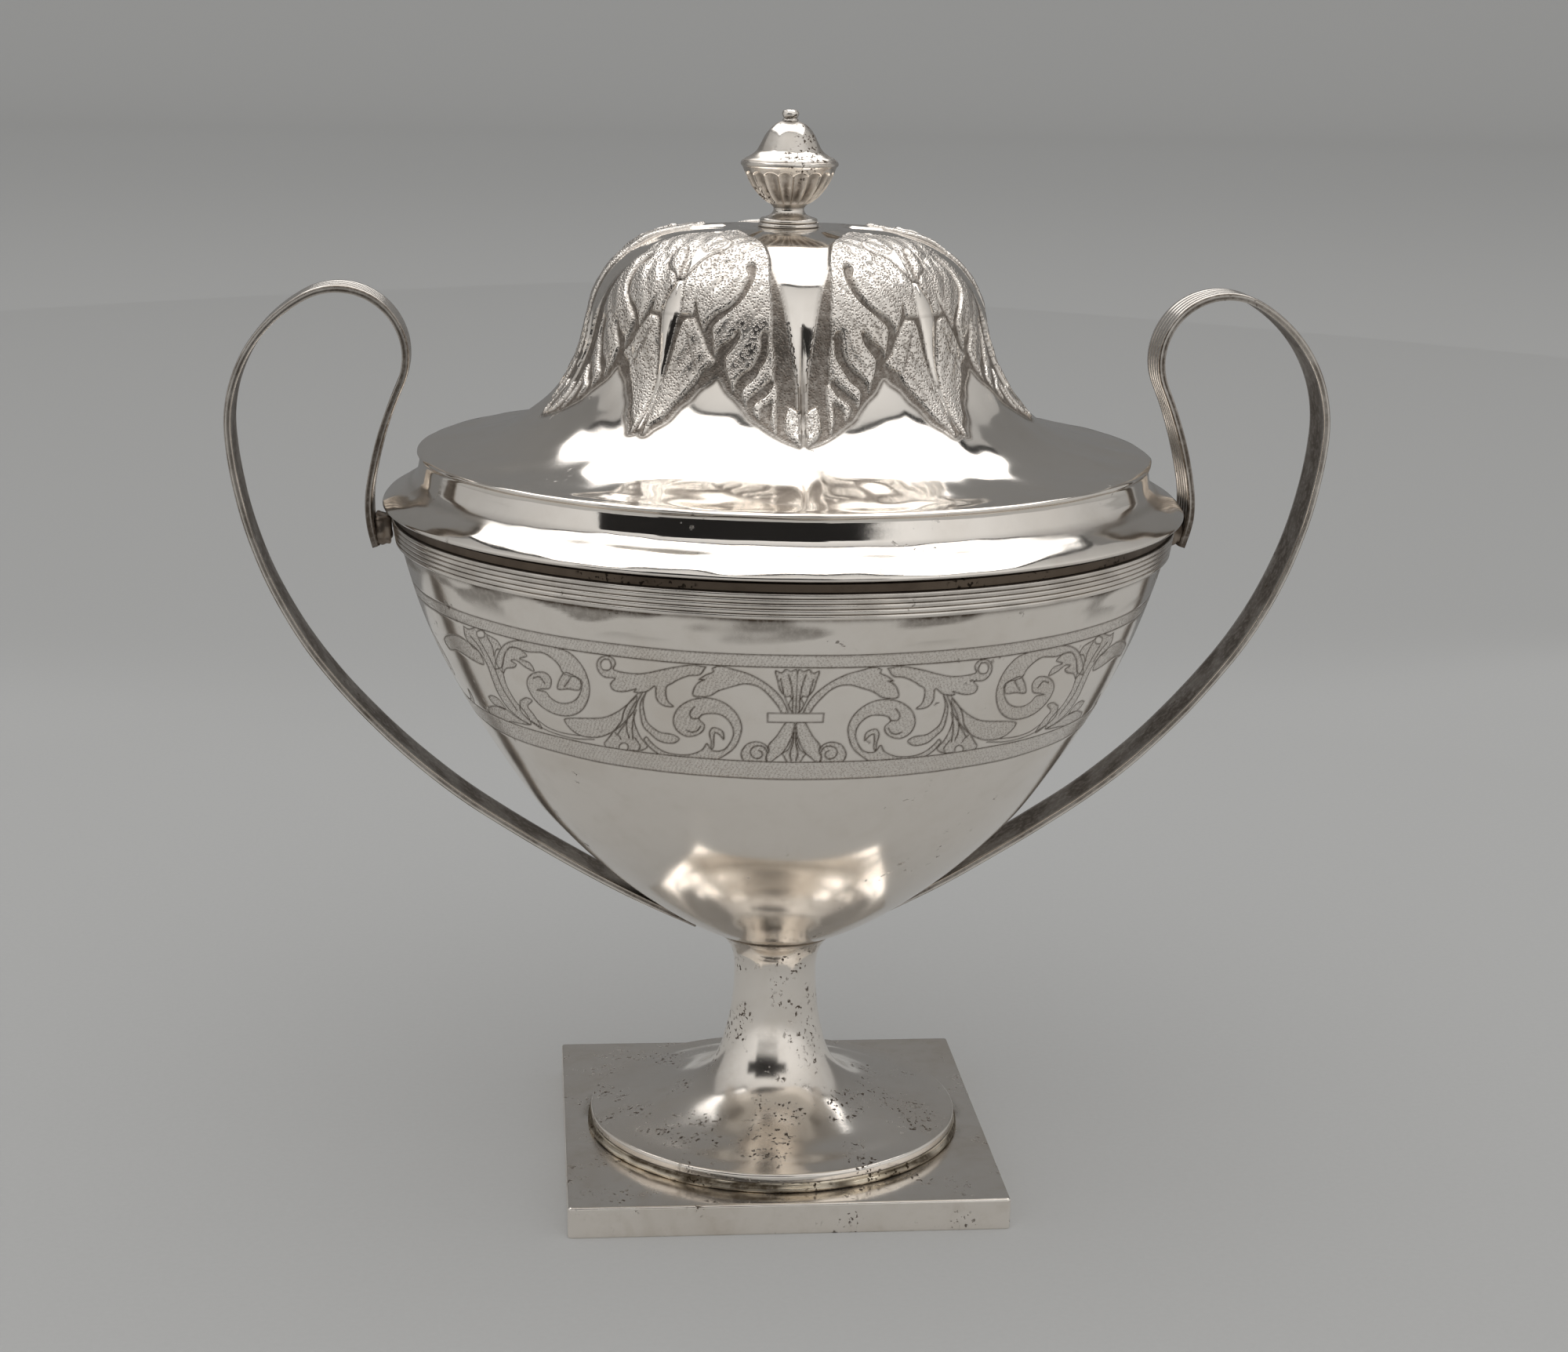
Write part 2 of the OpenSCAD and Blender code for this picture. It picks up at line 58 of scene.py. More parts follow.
# engraved band: [degrees from the middle of the front, height in millimetres]
SCROLLS = {
    "f1": [(1, 102.9), (1.5, 104.4), (2.3, 106.1), (3.5, 107.6), (4.9, 108.9), (6.8, 110.1), (8.8, 110.8), (10.7, 111.3), (11.8, 110.8), (11.7, 110.2), (12.7, 109.6), (13.8, 108.6), (13, 108.7), (13.9, 108.1), (14.7, 106.8), (14.9, 105.6), (14, 105.4), (12.3, 105.8), (11.2, 106.7), (9.2, 107.6), (7.6, 108.2), (6.1, 108.1), (4.9, 107.4), (3.5, 105.7), (2.5, 104.1), (1.8, 102.7)],
    "f2": [(12.7, 111), (14.6, 111.2), (16.7, 110.7), (18.8, 110), (20.9, 109.2), (22.7, 108.7), (24.4, 108.6), (25.8, 108.7), (26.7, 109), (26.2, 110), (26.4, 110.9), (27.4, 111.3), (28.6, 110.7), (29.3, 109.4), (29.2, 108.2), (28.4, 107.3), (26.7, 107.3), (27.6, 106.2), (27.5, 105.2), (26.4, 104.9), (25, 105.2), (23.5, 105.8), (24, 105.2), (22, 105.5), (20.5, 106.7), (20.6, 104.6), (20.2, 103.6), (19.3, 103.1), (18.1, 103.2), (18.8, 104), (19, 105.3), (18.7, 106.9), (17.9, 107.5), (16.9, 108.3), (15.2, 109.2), (13.7, 109.5)],
    "f2eye": [(27.1, 110.6), (27.9, 110.6), (28.6, 109.7), (28.5, 108.7), (27.5, 108.7), (26.9, 109.5)],
    "f3": [(24.1, 96.1), (23.3, 94.6), (22, 93.5), (20.2, 92.9), (17.4, 92.7), (14.6, 92.7), (12.7, 93.2), (10.8, 94.5), (9.3, 96), (8.4, 98), (8, 100.2), (8.5, 102.3), (9.6, 103.9), (11.2, 105), (13.2, 105.3), (15.3, 104.7), (17.2, 103.2), (18.2, 101.5), (18.5, 99.8), (18, 98.4), (16.7, 97.6), (15.1, 98), (13.9, 99.1), (13.7, 100.2), (14.4, 101.2), (13.9, 102), (12.6, 102.4), (11.1, 102.3), (10.1, 101.5), (9.4, 100.1), (9.3, 98.7), (9.8, 97.2), (10.9, 95.6), (12.1, 95.1), (13, 95.3), (13.6, 96.5), (14.5, 95.2), (16.5, 94.1), (18.6, 93.8), (20.5, 94), (21.8, 94.6), (23, 95.9), (23.5, 96.7)],
    "f3hook": [(14.8, 103.5), (15.6, 102.5), (15.6, 101.3), (14.5, 101.3), (13.9, 102)],
    "f3in": [(16.6, 98.8), (15.7, 98.5), (14.8, 99), (14.3, 99.8)],
    "f4": [(12.9, 97.1), (13, 98.7), (12.4, 99.7), (11.6, 99.6), (10.9, 99), (10.9, 97.5), (11.4, 98.3), (12.1, 98.8), (12.4, 97.7), (12.6, 96), (13, 95.3)],
    "f5": [(23.4, 105), (25.4, 102.7), (26.5, 100.9), (27.2, 99.2), (29.1, 97), (30.9, 95), (31.7, 94.1), (31.3, 93), (30, 92.9), (28.4, 93.1), (27.3, 93.5), (25.9, 93.6), (24.6, 94), (23.7, 94.8), (24.4, 96.1), (24.8, 97.4), (25, 99), (24.7, 101.2), (23.7, 103.4), (22.7, 105.3)],
    "f5b": [(22, 105.5), (22.8, 103.5), (23, 101.4), (22.8, 99.6), (22, 98.6), (21, 97.9), (18.9, 97.7), (18, 97), (18.7, 96.2), (19.7, 95.9), (21.5, 96.2), (22.7, 97.4), (23.6, 98.6), (23.7, 100.8), (23.3, 103.2)],
    "f5ring": [(27.9, 94.9), (27.3, 94.7), (27.3, 94), (28, 93.2), (28.8, 93), (29.1, 93.6), (28.7, 94.4)],
    "f5v0": [(24, 103.4), (25.8, 100.5), (26.7, 97.6), (26.6, 96)],
    "f5v1": [(24.2, 101.8), (25.2, 99.5), (25.8, 97.2), (26, 95.8)],
    "f5v2": [(26.3, 99.3), (27.7, 97.5), (28.8, 96.2)],
    "f5v3": [(28.2, 95.5), (28.5, 96.3), (29, 96.7)],
    "f5v4": [(25.6, 96.2), (25, 94.6), (25.4, 93.9)],
    "vine": [(23.7, 104.5), (25.5, 102.6), (28, 100.6), (30.3, 99.4), (34.7, 98.5), (36.4, 98.2), (38.4, 97.5), (37.9, 95.9), (36.2, 94.9), (33.4, 95), (31.3, 95.7), (28.8, 97.2), (26.3, 99.5), (24.1, 102.5)],
    "stem2": [(33.5, 94.6), (37.5, 94), (41.1, 94), (44.1, 94.4), (46.9, 95.4)],
    "stem2b": [(36.3, 94.8), (40.2, 94.6), (43.1, 95), (44.9, 96)],
    "fan": [(-0, 102.8), (0.8, 103.6), (1.1, 104.7), (0.7, 105.7), (0.9, 106.2), (1.5, 106.1), (2.3, 107.2), (2.7, 109), (3, 110.8), (2.2, 110.4), (1.6, 111.1), (0.9, 110.7), (0.2, 111.1)],
    "fanv0": [(0.5, 103.1), (0.5, 105.7), (0.8, 108.3), (1.2, 110.1)],
    "fanv1": [(0.9, 103.9), (1.7, 106.2), (2.3, 109.3)],
    "v": [(1.4, 101.4), (2, 100.1), (2.8, 98.5), (4, 96.7), (3.9, 95.6), (4.4, 94.5), (4.1, 93.2), (2.8, 94.3), (1.9, 95.2), (1.1, 96.6), (0.5, 98.3), (0.2, 99.9), (0.1, 101.1)],
    "vcurl": [(4, 95.7), (4.3, 96.7), (5.2, 97.3), (6, 97.4), (7.2, 96.9), (8, 95.8), (8.3, 94.8), (8, 93.6), (7.2, 93), (5.9, 92.9), (4.8, 93.1), (4.1, 93.2), (4.4, 94.5)],
    "vspiral": [(4.3, 95.6), (4.7, 96.4), (5.7, 96.6), (6.6, 96), (6.8, 95), (6.3, 94.2), (5.5, 94.1), (5, 94.7), (5, 95.4), (5.5, 95.7)],
    "t": [(1.9, 95.2), (1.4, 94.3), (1, 93.3), (0.1, 92.9), (-0.4, 92.8), (-0.1, 100.4), (0.2, 99.1), (0.5, 97.2), (1, 95.9)],
    "tv0": [(0.1, 99.9), (0.2, 97.2), (0.6, 95.2), (0.4, 93.8)],
    "clasp": [(4.1, 103.1), (-0.6, 103), (4.1, 101.3), (-0.6, 101.3)],
    "g1": [(51.4, 104.1), (50, 106.2), (48.7, 107.8), (46.5, 109.8), (43.4, 111.2), (40, 111.4), (36.1, 111.4), (33.7, 110.9), (32.3, 109.5), (31.5, 107.6), (31.4, 105), (32.2, 102.6), (33.9, 100.3), (36.2, 98.8), (38.9, 98.2), (42, 98.8), (43.9, 100.8), (44.1, 103.1), (42.9, 104.8), (40.7, 106), (39, 106.1), (38.4, 105.1), (39.3, 103.3), (41, 102.8), (42.2, 102.3), (40.4, 102.4), (39.7, 101.4), (38.3, 100.8), (36.6, 101), (34.7, 102), (33.3, 103.7), (32.6, 105.9), (33.5, 106.5), (35.1, 107), (35.7, 106.8), (36.1, 108.1), (37.1, 109.2), (38.5, 109.9), (41.9, 109.5), (43.5, 109.7), (45.4, 109.5), (47.2, 107.9), (49.1, 105.1)],
    "g2": [(49.1, 105.1), (47.2, 107.9), (45.4, 109.5), (43.5, 109.7), (42.1, 108.7), (43.9, 107.8), (41.9, 107.4), (41.5, 106), (43.2, 106.4), (45, 107.3), (46.2, 106.9), (45.1, 106.5), (45.8, 105.8), (48.1, 105), (49.4, 103.8)],
    "g3": [(35.7, 106.7), (36.9, 105.1), (37.6, 103.5), (35.4, 103.9), (33.4, 104.1), (32.8, 105.8), (33.5, 106.4), (34.7, 106.5)],
    "g3v0": [(36.1, 104.2), (35, 105.5), (34.4, 106.3)],
    "g3v1": [(42.1, 104.6), (40.7, 105.1), (40, 104)],
    "g4": [(56.6, 110.8), (57.2, 108.9), (56.2, 107.3), (54.5, 106.7), (53.3, 104.7), (53.3, 102.1), (53.4, 99.4), (52.2, 96.5), (47.4, 94.6), (47.3, 96.5), (49.1, 99.1), (49.7, 101.9), (49.4, 103.8), (50.2, 104.9), (50.2, 106.4), (49.1, 108.2), (47.7, 108.8), (48, 110), (49.2, 110.5), (50.7, 110.9), (51.1, 111.6), (53, 111.4), (55.3, 110.6)],
    "g4v0": [(53.2, 109.3), (52.1, 107), (51.4, 104.1), (51.2, 100.4), (49.7, 96.8)],
    "g4v1": [(55.5, 109.3), (53.9, 107.9), (53.2, 106.2)],
    "g4v2": [(50.5, 110.4), (49.9, 108.5), (50.3, 106.9)],
    "g4ring": [(51.8, 111.2), (51, 111.1), (51.1, 110.3), (52.3, 109.7), (53.2, 109.7), (53.1, 110.5)],
    "g5a": [(57.6, 97.5), (57.3, 96.5), (55.9, 96.1), (53.2, 96.2), (54.1, 97.9), (56.1, 98.1)],
    "g5b": [(60.3, 94.7), (61.2, 92.6), (59.4, 92.2), (53.5, 93.7), (47.8, 94.5), (50.7, 95.2), (53.2, 96.2), (56.9, 95.9)],
    "g5c": [(47.6, 99.1), (48.6, 97), (47.3, 95.5), (44.8, 94.4), (45.4, 97), (46.1, 98.4), (44.3, 99.9), (45.4, 100.2)],
    "g6": [(67.3, 105.1), (66.9, 106), (63.9, 107.4), (60.2, 108.2), (57.2, 107.9), (54.5, 106.7), (54.2, 104.4), (56.8, 104.3), (60.1, 104.8), (62.5, 105), (66.1, 104.3)],
}

FLOOR_COLOUR = (0.40, 0.40, 0.395)
# painted light: the floor colour is this much brighter at the front
PAINTED_FRONT_LIGHT = 1.28
KEY = 19.0
ROOM = 30.0
FILL = 66.0
WORLD = (0.85, 0.22)


# ---------------------------------------------------------------- outlines
def crom(points, step, ends=None):
    """Points along a centripetal Catmull-Rom curve through points, about step apart."""
    P = np.array(points, float)
    Q = np.vstack([2 * P[0] - P[1], P, 2 * P[-1] - P[-2]])
    out = []
    for i in range(1, len(Q) - 2):
        p0, p1, p2, p3 = Q[i - 1:i + 3]
        k = [0.0]
        for a, b in ((p0, p1), (p1, p2), (p2, p3)):
            k.append(k[-1] + math.sqrt(np.linalg.norm(b - a)))
        t0, t1, t2, t3 = k
        n = max(1, int(math.ceil(np.linalg.norm(p2 - p1) / step)))
        t = np.linspace(t1, t2, n, endpoint=False)[:, None]
        A1 = (t1 - t) / (t1 - t0) * p0 + (t - t0) / (t1 - t0) * p1
        A2 = (t2 - t) / (t2 - t1) * p1 + (t - t1) / (t2 - t1) * p2
        A3 = (t3 - t) / (t3 - t2) * p2 + (t - t2) / (t3 - t2) * p3
        B1 = (t2 - t) / (t2 - t0) * A1 + (t - t0) / (t2 - t0) * A2
        B2 = (t3 - t) / (t3 - t1) * A2 + (t - t1) / (t3 - t1) * A3
        out.append((t2 - t) / (t2 - t1) * B1 + (t - t1) / (t2 - t1) * B2)
    return np.vstack(out + [P[-1:]])


def resample(P, marks):
    """The points of an open line at given arc lengths."""
    s = np.concatenate([[0], np.cumsum(np.hypot(*np.diff(P, axis=0).T))])
    return np.stack([np.interp(marks, s, P[:, 0]), np.interp(marks, s, P[:, 1])], 1)


def length(P):
    return float(np.hypot(*np.diff(P, axis=0).T).sum())


def offset(P, d):
    """A line moved d to its right (towards the metal's back face)."""
    T = np.gradient(P, axis=0)
    T /= np.maximum(np.linalg.norm(T, axis=1), 1e-9)[:, None]
    return P + d * np.stack([-T[:, 1], T[:, 0]], 1)


def waves(P, count, low, high, seed):
    """Smooth, seeded, isotropic unevenness between -1 and 1 or so. P and the wavelengths are in millimetres."""
    rng = np.random.default_rng(seed)
    out = np.zeros(P.shape[:-1])
    for _ in range(count):
        k = rng.normal(size=3)
        k *= 2 * math.pi / rng.uniform(low, high) / np.linalg.norm(k)
        out += np.cos(P @ k + rng.uniform(0, 2 * math.pi))
    return out * math.sqrt(2.0 / count)


def smooth(a, b, x):
    t = np.clip((x - a) / (b - a), 0, 1)
    return t * t * (3 - 2 * t)


# ---------------------------------------------------------------- distances on a flat map
def line_distance(X, Y, pts, closed=False, limit=3.0):
    """Distance from each map point to a broken line, no more than limit."""
    p = np.array(pts, float)
    q = np.roll(p, -1, 0) if closed else p[1:]
    p = p if closed else p[:-1]
    D = np.full(X.shape, limit)
    for (ax, ay), (bx, by) in zip(p, q):
        m = (X > min(ax, bx) - limit) & (X < max(ax, bx) + limit) & (Y > min(ay, by) - limit) & (Y < max(ay, by) + limit)
        if not m.any():
            continue
        x, y = X[m], Y[m]
        dx, dy = bx - ax, by - ay
        t = np.clip(((x - ax) * dx + (y - ay) * dy) / max(dx * dx + dy * dy, 1e-12), 0, 1)
        D[m] = np.minimum(D[m], np.hypot(x - ax - t * dx, y - ay - t * dy))
    return D


def inside(X, Y, pts):
    p = np.array(pts, float)
    q = np.roll(p, -1, 0)
    m = (X > p[:, 0].min()) & (X < p[:, 0].max()) & (Y > p[:, 1].min()) & (Y < p[:, 1].max())
    c = np.zeros(X.shape, bool)
    x, y = X[m], Y[m]
    r = np.zeros(x.shape, bool)
    for (ax, ay), (bx, by) in zip(p, q):
        if ay == by:
            continue
        r ^= ((ay > y) != (by > y)) & (x < (bx - ax) * (y - ay) / (by - ay) + ax)
    c[m] = r
    return c


def signed(X, Y, pts, limit=3.0):
    d = line_distance(X, Y, pts, True, limit)
    return np.where(inside(X, Y, pts), d, -d)


def bell(d, w):
    return np.exp(-(d / w) ** 2)


# ---------------------------------------------------------------- meshes
def make(name, co, faces, uv, attrs=None, sharp=None):
    """A smooth-shaded mesh object from millimetre points. faces is a list of integer arrays (quads or triangles) and uv matches them."""
    me = bpy.data.meshes.new(name)
    n = len(co)
    me.vertices.add(n)
    me.vertices.foreach_set("co", (np.asarray(co, np.float64) * MM).astype(np.float32).ravel())
    idx = np.concatenate([f.ravel() for f in faces]).astype(np.int32)
    start, at = [], 0
    for f in faces:
        k = f.shape[1]
        start.append(at + np.arange(len(f)) * k)
        at += len(f) * k
    start = np.concatenate(start).astype(np.int32)
    me.loops.add(len(idx))
    me.loops.foreach_set("vertex_index", idx)
    me.polygons.add(len(start))
    me.polygons.foreach_set("loop_start", start)
    me.update(calc_edges=True)
    layer = me.uv_layers.new(name="OFBake")
    layer.data.foreach_set("uv", np.concatenate([u.reshape(-1, 2) for u in uv]).astype(np.float32).ravel())
    for k, v in (attrs or {}).items():
        a = me.attributes.new(k, "FLOAT", "POINT")
        a.data.foreach_set("value", np.asarray(v, np.float32).ravel())
    me.validate(clean_customdata=False)
    me.shade_smooth()
    if sharp:
        me.set_sharp_from_angle(angle=math.radians(sharp))
    ob = bpy.data.objects.new(name, me)
    bpy.context.scene.collection.objects.link(ob)
    return ob


def lathe(name, rows, closed=True, poles=False, sharp=None, v_span=(0.01, 0.99)):
    """Turns rings into a mesh. rows is a list of (points [n, 3] in millimetres, {attribute: values}); n may change from row to row by a whole factor."""
    base, start = [], 0
    for pts, _ in rows:
        base.append(start)
        start += len(pts)
    co = np.concatenate([r[0] for r in rows])
    names = sorted({k for r in rows for k in r[1]})
    attrs = {k: np.concatenate([np.broadcast_to(np.asarray(r[1].get(k, 0.0), float), (len(r[0]),)) for r in rows]) for k in names}
    mid = np.array([r[0].mean(0) for r in rows])
    rad = np.array([np.hypot(r[0][:, 0], r[0][:, 1]).mean() for r in rows])
    line = np.stack([rad, mid[:, 2]], 1)
    m = len(rows)
    seg = np.hypot(*np.diff(np.vstack([line, line[:1]]), axis=0).T)
    v = np.concatenate([[0], np.cumsum(seg)])
    v = v_span[0] + (v_span[1] - v_span[0]) * v / (v[-1] if closed else v[m - 1])
    quads, quv, tris, tuv = [], [], [], []
    for j in range(m if closed else m - 1):
        a, b = j, (j + 1) % m
        na, nb = len(rows[a][0]), len(rows[b][0])
        va, vb = v[j], v[j + 1]
        if na == nb:
            i = np.arange(na)
            k = (i + 1) % na
            quads.append(np.stack([base[a] + i, base[a] + k, base[b] + k, base[b] + i], 1))
            u0, u1 = i / na, (i + 1) / na
            quv.append(np.stack([u0, 0 * i + va, u1, 0 * i + va, u1, 0 * i + vb, u0, 0 * i + vb], 1))
        else:
            up = nb > na
            lo, hi, nlo, nhi, vlo, vhi = (a, b, na, nb, va, vb) if up else (b, a, nb, na, vb, va)
            f = nhi // nlo
            i = np.arange(nlo)
            for s in range(f):
                c = base[lo] + (i if s < (f + 1) // 2 else (i + 1) % nlo)
                uc = (i if s < (f + 1) // 2 else i + 1) / nlo
                h0, h1 = i * f + s, i * f + s + 1
                t = [c, base[hi] + h1 % nhi, base[hi] + h0] if up else [c, base[hi] + h0, base[hi] + h1 % nhi]
                tu = [uc, h1 / nhi, h0 / nhi] if up else [uc, h0 / nhi, h1 / nhi]
                tris.append(np.stack(t, 1))
                tuv.append(np.stack([tu[0], 0 * i + vlo, tu[1], 0 * i + vhi, tu[2], 0 * i + vhi], 1))
            s = (f + 1) // 2
            h = i * f + s
            lo1 = (i + 1) % nlo
            t = [base[lo] + i, base[lo] + lo1, base[hi] + h % nhi] if up else [base[lo] + lo1, base[lo] + i, base[hi] + h % nhi]
            tu = [i / nlo, (i + 1) / nlo] if up else [(i + 1) / nlo, i / nlo]
            tris.append(np.stack(t, 1))
            tuv.append(np.stack([tu[0], 0 * i + vlo, tu[1], 0 * i + vlo, h / nhi, 0 * i + vhi], 1))
    if poles:
        for end, row, order in (("low", 0, 1), ("high", m - 1, -1)):
            if poles not in (True, end):
                continue
            n = len(rows[row][0])
            co = np.vstack([co, rows[row][0].mean(0)])
            for k in attrs:
                attrs[k] = np.append(attrs[k], attrs[k][base[row]:base[row] + n].mean())
            i = np.arange(n)
            k = (i + 1) % n
            c = 0 * i + len(co) - 1
            t = [c, base[row] + k, base[row] + i] if order > 0 else [c, base[row] + i, base[row] + k]
            vc, vr = (0.0, v_span[0]) if order > 0 else (1.0, v_span[1])
            tu = [(i + 0.5) / n, (i + 1) / n, i / n] if order > 0 else [(i + 0.5) / n, i / n, (i + 1) / n]
            tris.append(np.stack(t, 1))
            tuv.append(np.stack([tu[0], 0 * i + vc, tu[1], 0 * i + vr, tu[2], 0 * i + vr], 1))
    faces = [np.concatenate(x) for x in (quads, tris) if x]
    uvs = [np.concatenate(x) for x in (quv, tuv) if x]
    return make(name, co, faces, uvs, attrs, sharp)


def ring(r, z, n, attrs=None):
    t = np.arange(n) * 2 * math.pi / n
    r = np.broadcast_to(r, (n,))
    z = np.broadcast_to(z, (n,))
    return np.stack([r * np.sin(t), -r * np.cos(t), z], 1), (attrs or {})


def normals(P):
    T = np.gradient(P, axis=0)
    T /= np.maximum(np.linalg.norm(T, axis=1), 1e-9)[:, None]
    return np.stack([T[:, 1], -T[:, 0]], 1)


def turned(P, n, lift=None, attrs=None):
    """Rings for each point of an outline, moved along its normal by lift(theta, ring points, index) in millimetres."""
    N = normals(P)
    rows = []
    for j, ((r, z), (nr, nz)) in enumerate(zip(P, N)):
        pts, _ = ring(r, z, n)
        a = {k: (w[j] if hasattr(w, "__len__") else w) for k, w in (attrs or {}).items()}
        if lift is not None:
            d = lift(pts, j)
            pts, _ = ring(r + nr * d, z + nz * d, n)
        rows.append((pts, a))
    return rows


# ---------------------------------------------------------------- materials
def node(tree, kind, **values):
    x = tree.nodes.new(kind)
    for k, v in values.items():
        if k in ("op", "kind", "data", "space"):
            continue
        setattr(x, k, v)
    return x


def silver(name, bright=(0.97, 0.915, 0.848), warm=(0.66, 0.57, 0.47), dark=(0.10, 0.075, 0.055), rough=0.10,
           clouds=0.35, pits=0.25, pit_scale=330.0, cavity=1.0, stipple=0.0, stipple_scale=2100.0, scratch=1.0, matte=0.26, speckle=0.6, seed=0.0):
    """Polished old silver: slightly uneven polish, warm clouds of tarnish, dark pits, and a per-vertex darkening
    towards the dark colour that is tarnish in the hollows and, on some pieces, painted shade.
    """
    m = bpy.data.materials.new(name)
    m.use_nodes = True
    t = m.node_tree
    t.nodes.clear()
    out = t.nodes.new("ShaderNodeOutputMaterial")
    b = t.nodes.new("ShaderNodeBsdfPrincipled")
    b.inputs["Metallic"].default_value = 1.0
    t.links.new(b.outputs["BSDF"], out.inputs["Surface"])
    tc = t.nodes.new("ShaderNodeTexCoord")
    mp = t.nodes.new("ShaderNodeMapping")
    mp.inputs["Location"].default_value = (seed, seed * 0.7, seed * 1.3)
    t.links.new(tc.outputs["Object"], mp.inputs["Vector"])

    def noise(scale, detail=3.0, rough_=0.5, vector=None, distortion=0.0):
        n = t.nodes.new("ShaderNodeTexNoise")
        n.inputs["Scale"].default_value = scale
        n.inputs["Detail"].default_value = detail
        n.inputs["Roughness"].default_value = rough_
        n.inputs["Distortion"].default_value = distortion
        t.links.new((vector or mp).outputs["Vector"], n.inputs["Vector"])
        return n.outputs["Fac"]

    def ramp(value, low, high, a=0.0, c=1.0):
        r = t.nodes.new("ShaderNodeMapRange")
        r.interpolation_type = "SMOOTHSTEP"
        r.inputs["From Min"].default_value = low
        r.inputs["From Max"].default_value = high
        r.inputs["To Min"].default_value = a
        r.inputs["To Max"].default_value = c
        t.links.new(value, r.inputs["Value"])
        return r.outputs["Result"]

    def math_(op, x, y, clamp=False):
        n = t.nodes.new("ShaderNodeMath")
        n.operation = op
        n.use_clamp = clamp
        for i, w in enumerate((x, y)):
            if isinstance(w, (int, float)):
                n.inputs[i].default_value = w
            else:
                t.links.new(w, n.inputs[i])
        return n.outputs[0]

    def mix(f, a, c):
        n = t.nodes.new("ShaderNodeMix")
        n.data_type = "RGBA"
        t.links.new(f, n.inputs[0])
        for i, w in ((6, a), (7, c)):
            if isinstance(w, tuple):
                n.inputs[i].default_value = (*w, 1.0)
            else:
                t.links.new(w, n.inputs[i])
        return n.outputs[2]

    def attr(n_):
        a = t.nodes.new("ShaderNodeAttribute")
        a.attribute_name = n_
        return a.outputs["Fac"]

    broad = ramp(noise(38.0, 4.0, 0.6, distortion=0.6), 0.42, 0.72)
    mottle = ramp(noise(260.0, 5.0, 0.65), 0.45, 0.75)
    haze = math_("MULTIPLY", math_("ADD", math_("MULTIPLY", broad, 0.7), math_("MULTIPLY", mottle, 0.35), True), clouds, True)
    colour = mix(haze, bright, warm)
    # pits: ragged dark specks gathered in drifts
    spots = ramp(noise(pit_scale * 2.2, 4.0, 0.62), 0.61 - 0.05 * pits, 0.65 - 0.05 * pits)
    where = ramp(noise(95.0, 3.0, 0.6), 0.64 - 0.16 * pits, 0.70 - 0.14 * pits)
    pit = math_("MULTIPLY", spots, where, True)
    pit = math_("MULTIPLY", pit, min(1.0, 0.55 + 0.5 * pits), True)
    colour = mix(pit, colour, dark)
    # per-vertex darkening: real tarnish in hollows, and painted shade on the reed grooves, strap edges, the lid's lower
    # edge and the lugs
    tarn = math_("MULTIPLY", attr("tarn"), cavity, True)
    tarnish_and_shade_broken = math_("MULTIPLY", tarn, ramp(noise(900.0, 4.0, 0.7), 0.25, 0.6, 0.72, 1.0), True)
    colour = mix(tarnish_and_shade_broken, colour, dark)
    t.links.new(colour, b.inputs["Base Color"])
    fine = noise(2600.0, 2.0)
    r = math_("ADD", math_("MULTIPLY", haze, 0.16), math_("MULTIPLY", fine, 0.05))
    r = math_("ADD", r, math_("MULTIPLY", pit, 0.4))
    r = math_("ADD", r, math_("MULTIPLY", tarn, 0.35))
    st = math_("MULTIPLY", attr("stip"), 1.0, True) if stipple else None
    if st is not None:
        w = t.nodes.new("ShaderNodeTexVoronoi")
        w.inputs["Scale"].default_value = stipple_scale
        t.links.new(mp.outputs["Vector"], w.inputs["Vector"])
        dots = ramp(w.outputs["Distance"], 0.10, 0.60)
        low = math_("MULTIPLY", math_("SUBTRACT", 1.0, dots, True), math_("MULTIPLY", st, speckle), True)
        colour = mix(low, colour, (0.20, 0.155, 0.125))
        t.links.new(colour, b.inputs["Base Color"])
    if st is not None:
        r = math_("ADD", r, math_("MULTIPLY", st, matte))
    r = math_("ADD", r, rough - 0.02, True)
    t.links.new(r, b.inputs["Roughness"])
    # fine polishing lines in two directions, pits and punched texture
    s1 = t.nodes.new("ShaderNodeMapping")
    s1.inputs["Scale"].default_value = (900.0, 900.0, 9000.0)
    s1.inputs["Rotation"].default_value = (0.12, 0.08, 0.3)
    t.links.new(tc.outputs["Object"], s1.inputs["Vector"])
    n1 = noise(1.0, 2.0, 0.5, s1)
    height = math_("MULTIPLY", n1, 0.0016 * scratch)
    height = math_("ADD", height, math_("MULTIPLY", fine, 0.0010 * scratch))
    height = math_("SUBTRACT", height, math_("MULTIPLY", pit, 0.03))
    if st is not None:
        height = math_("ADD", height, math_("MULTIPLY", math_("MULTIPLY", dots, st), stipple))
    bump = t.nodes.new("ShaderNodeBump")
    bump.inputs["Strength"].default_value = 1.0
    bump.inputs["Distance"].default_value = 0.001
    t.links.new(height, bump.inputs["Height"])
    t.links.new(bump.outputs["Normal"], b.inputs["Normal"])
    return m


def finish_piece(ob, body, slot, mat, *nodes):
    ob.data.materials.clear()
    ob.data.materials.append(mat)
    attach(ob, body)
    if nodes:
        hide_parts(*nodes)
    return ob


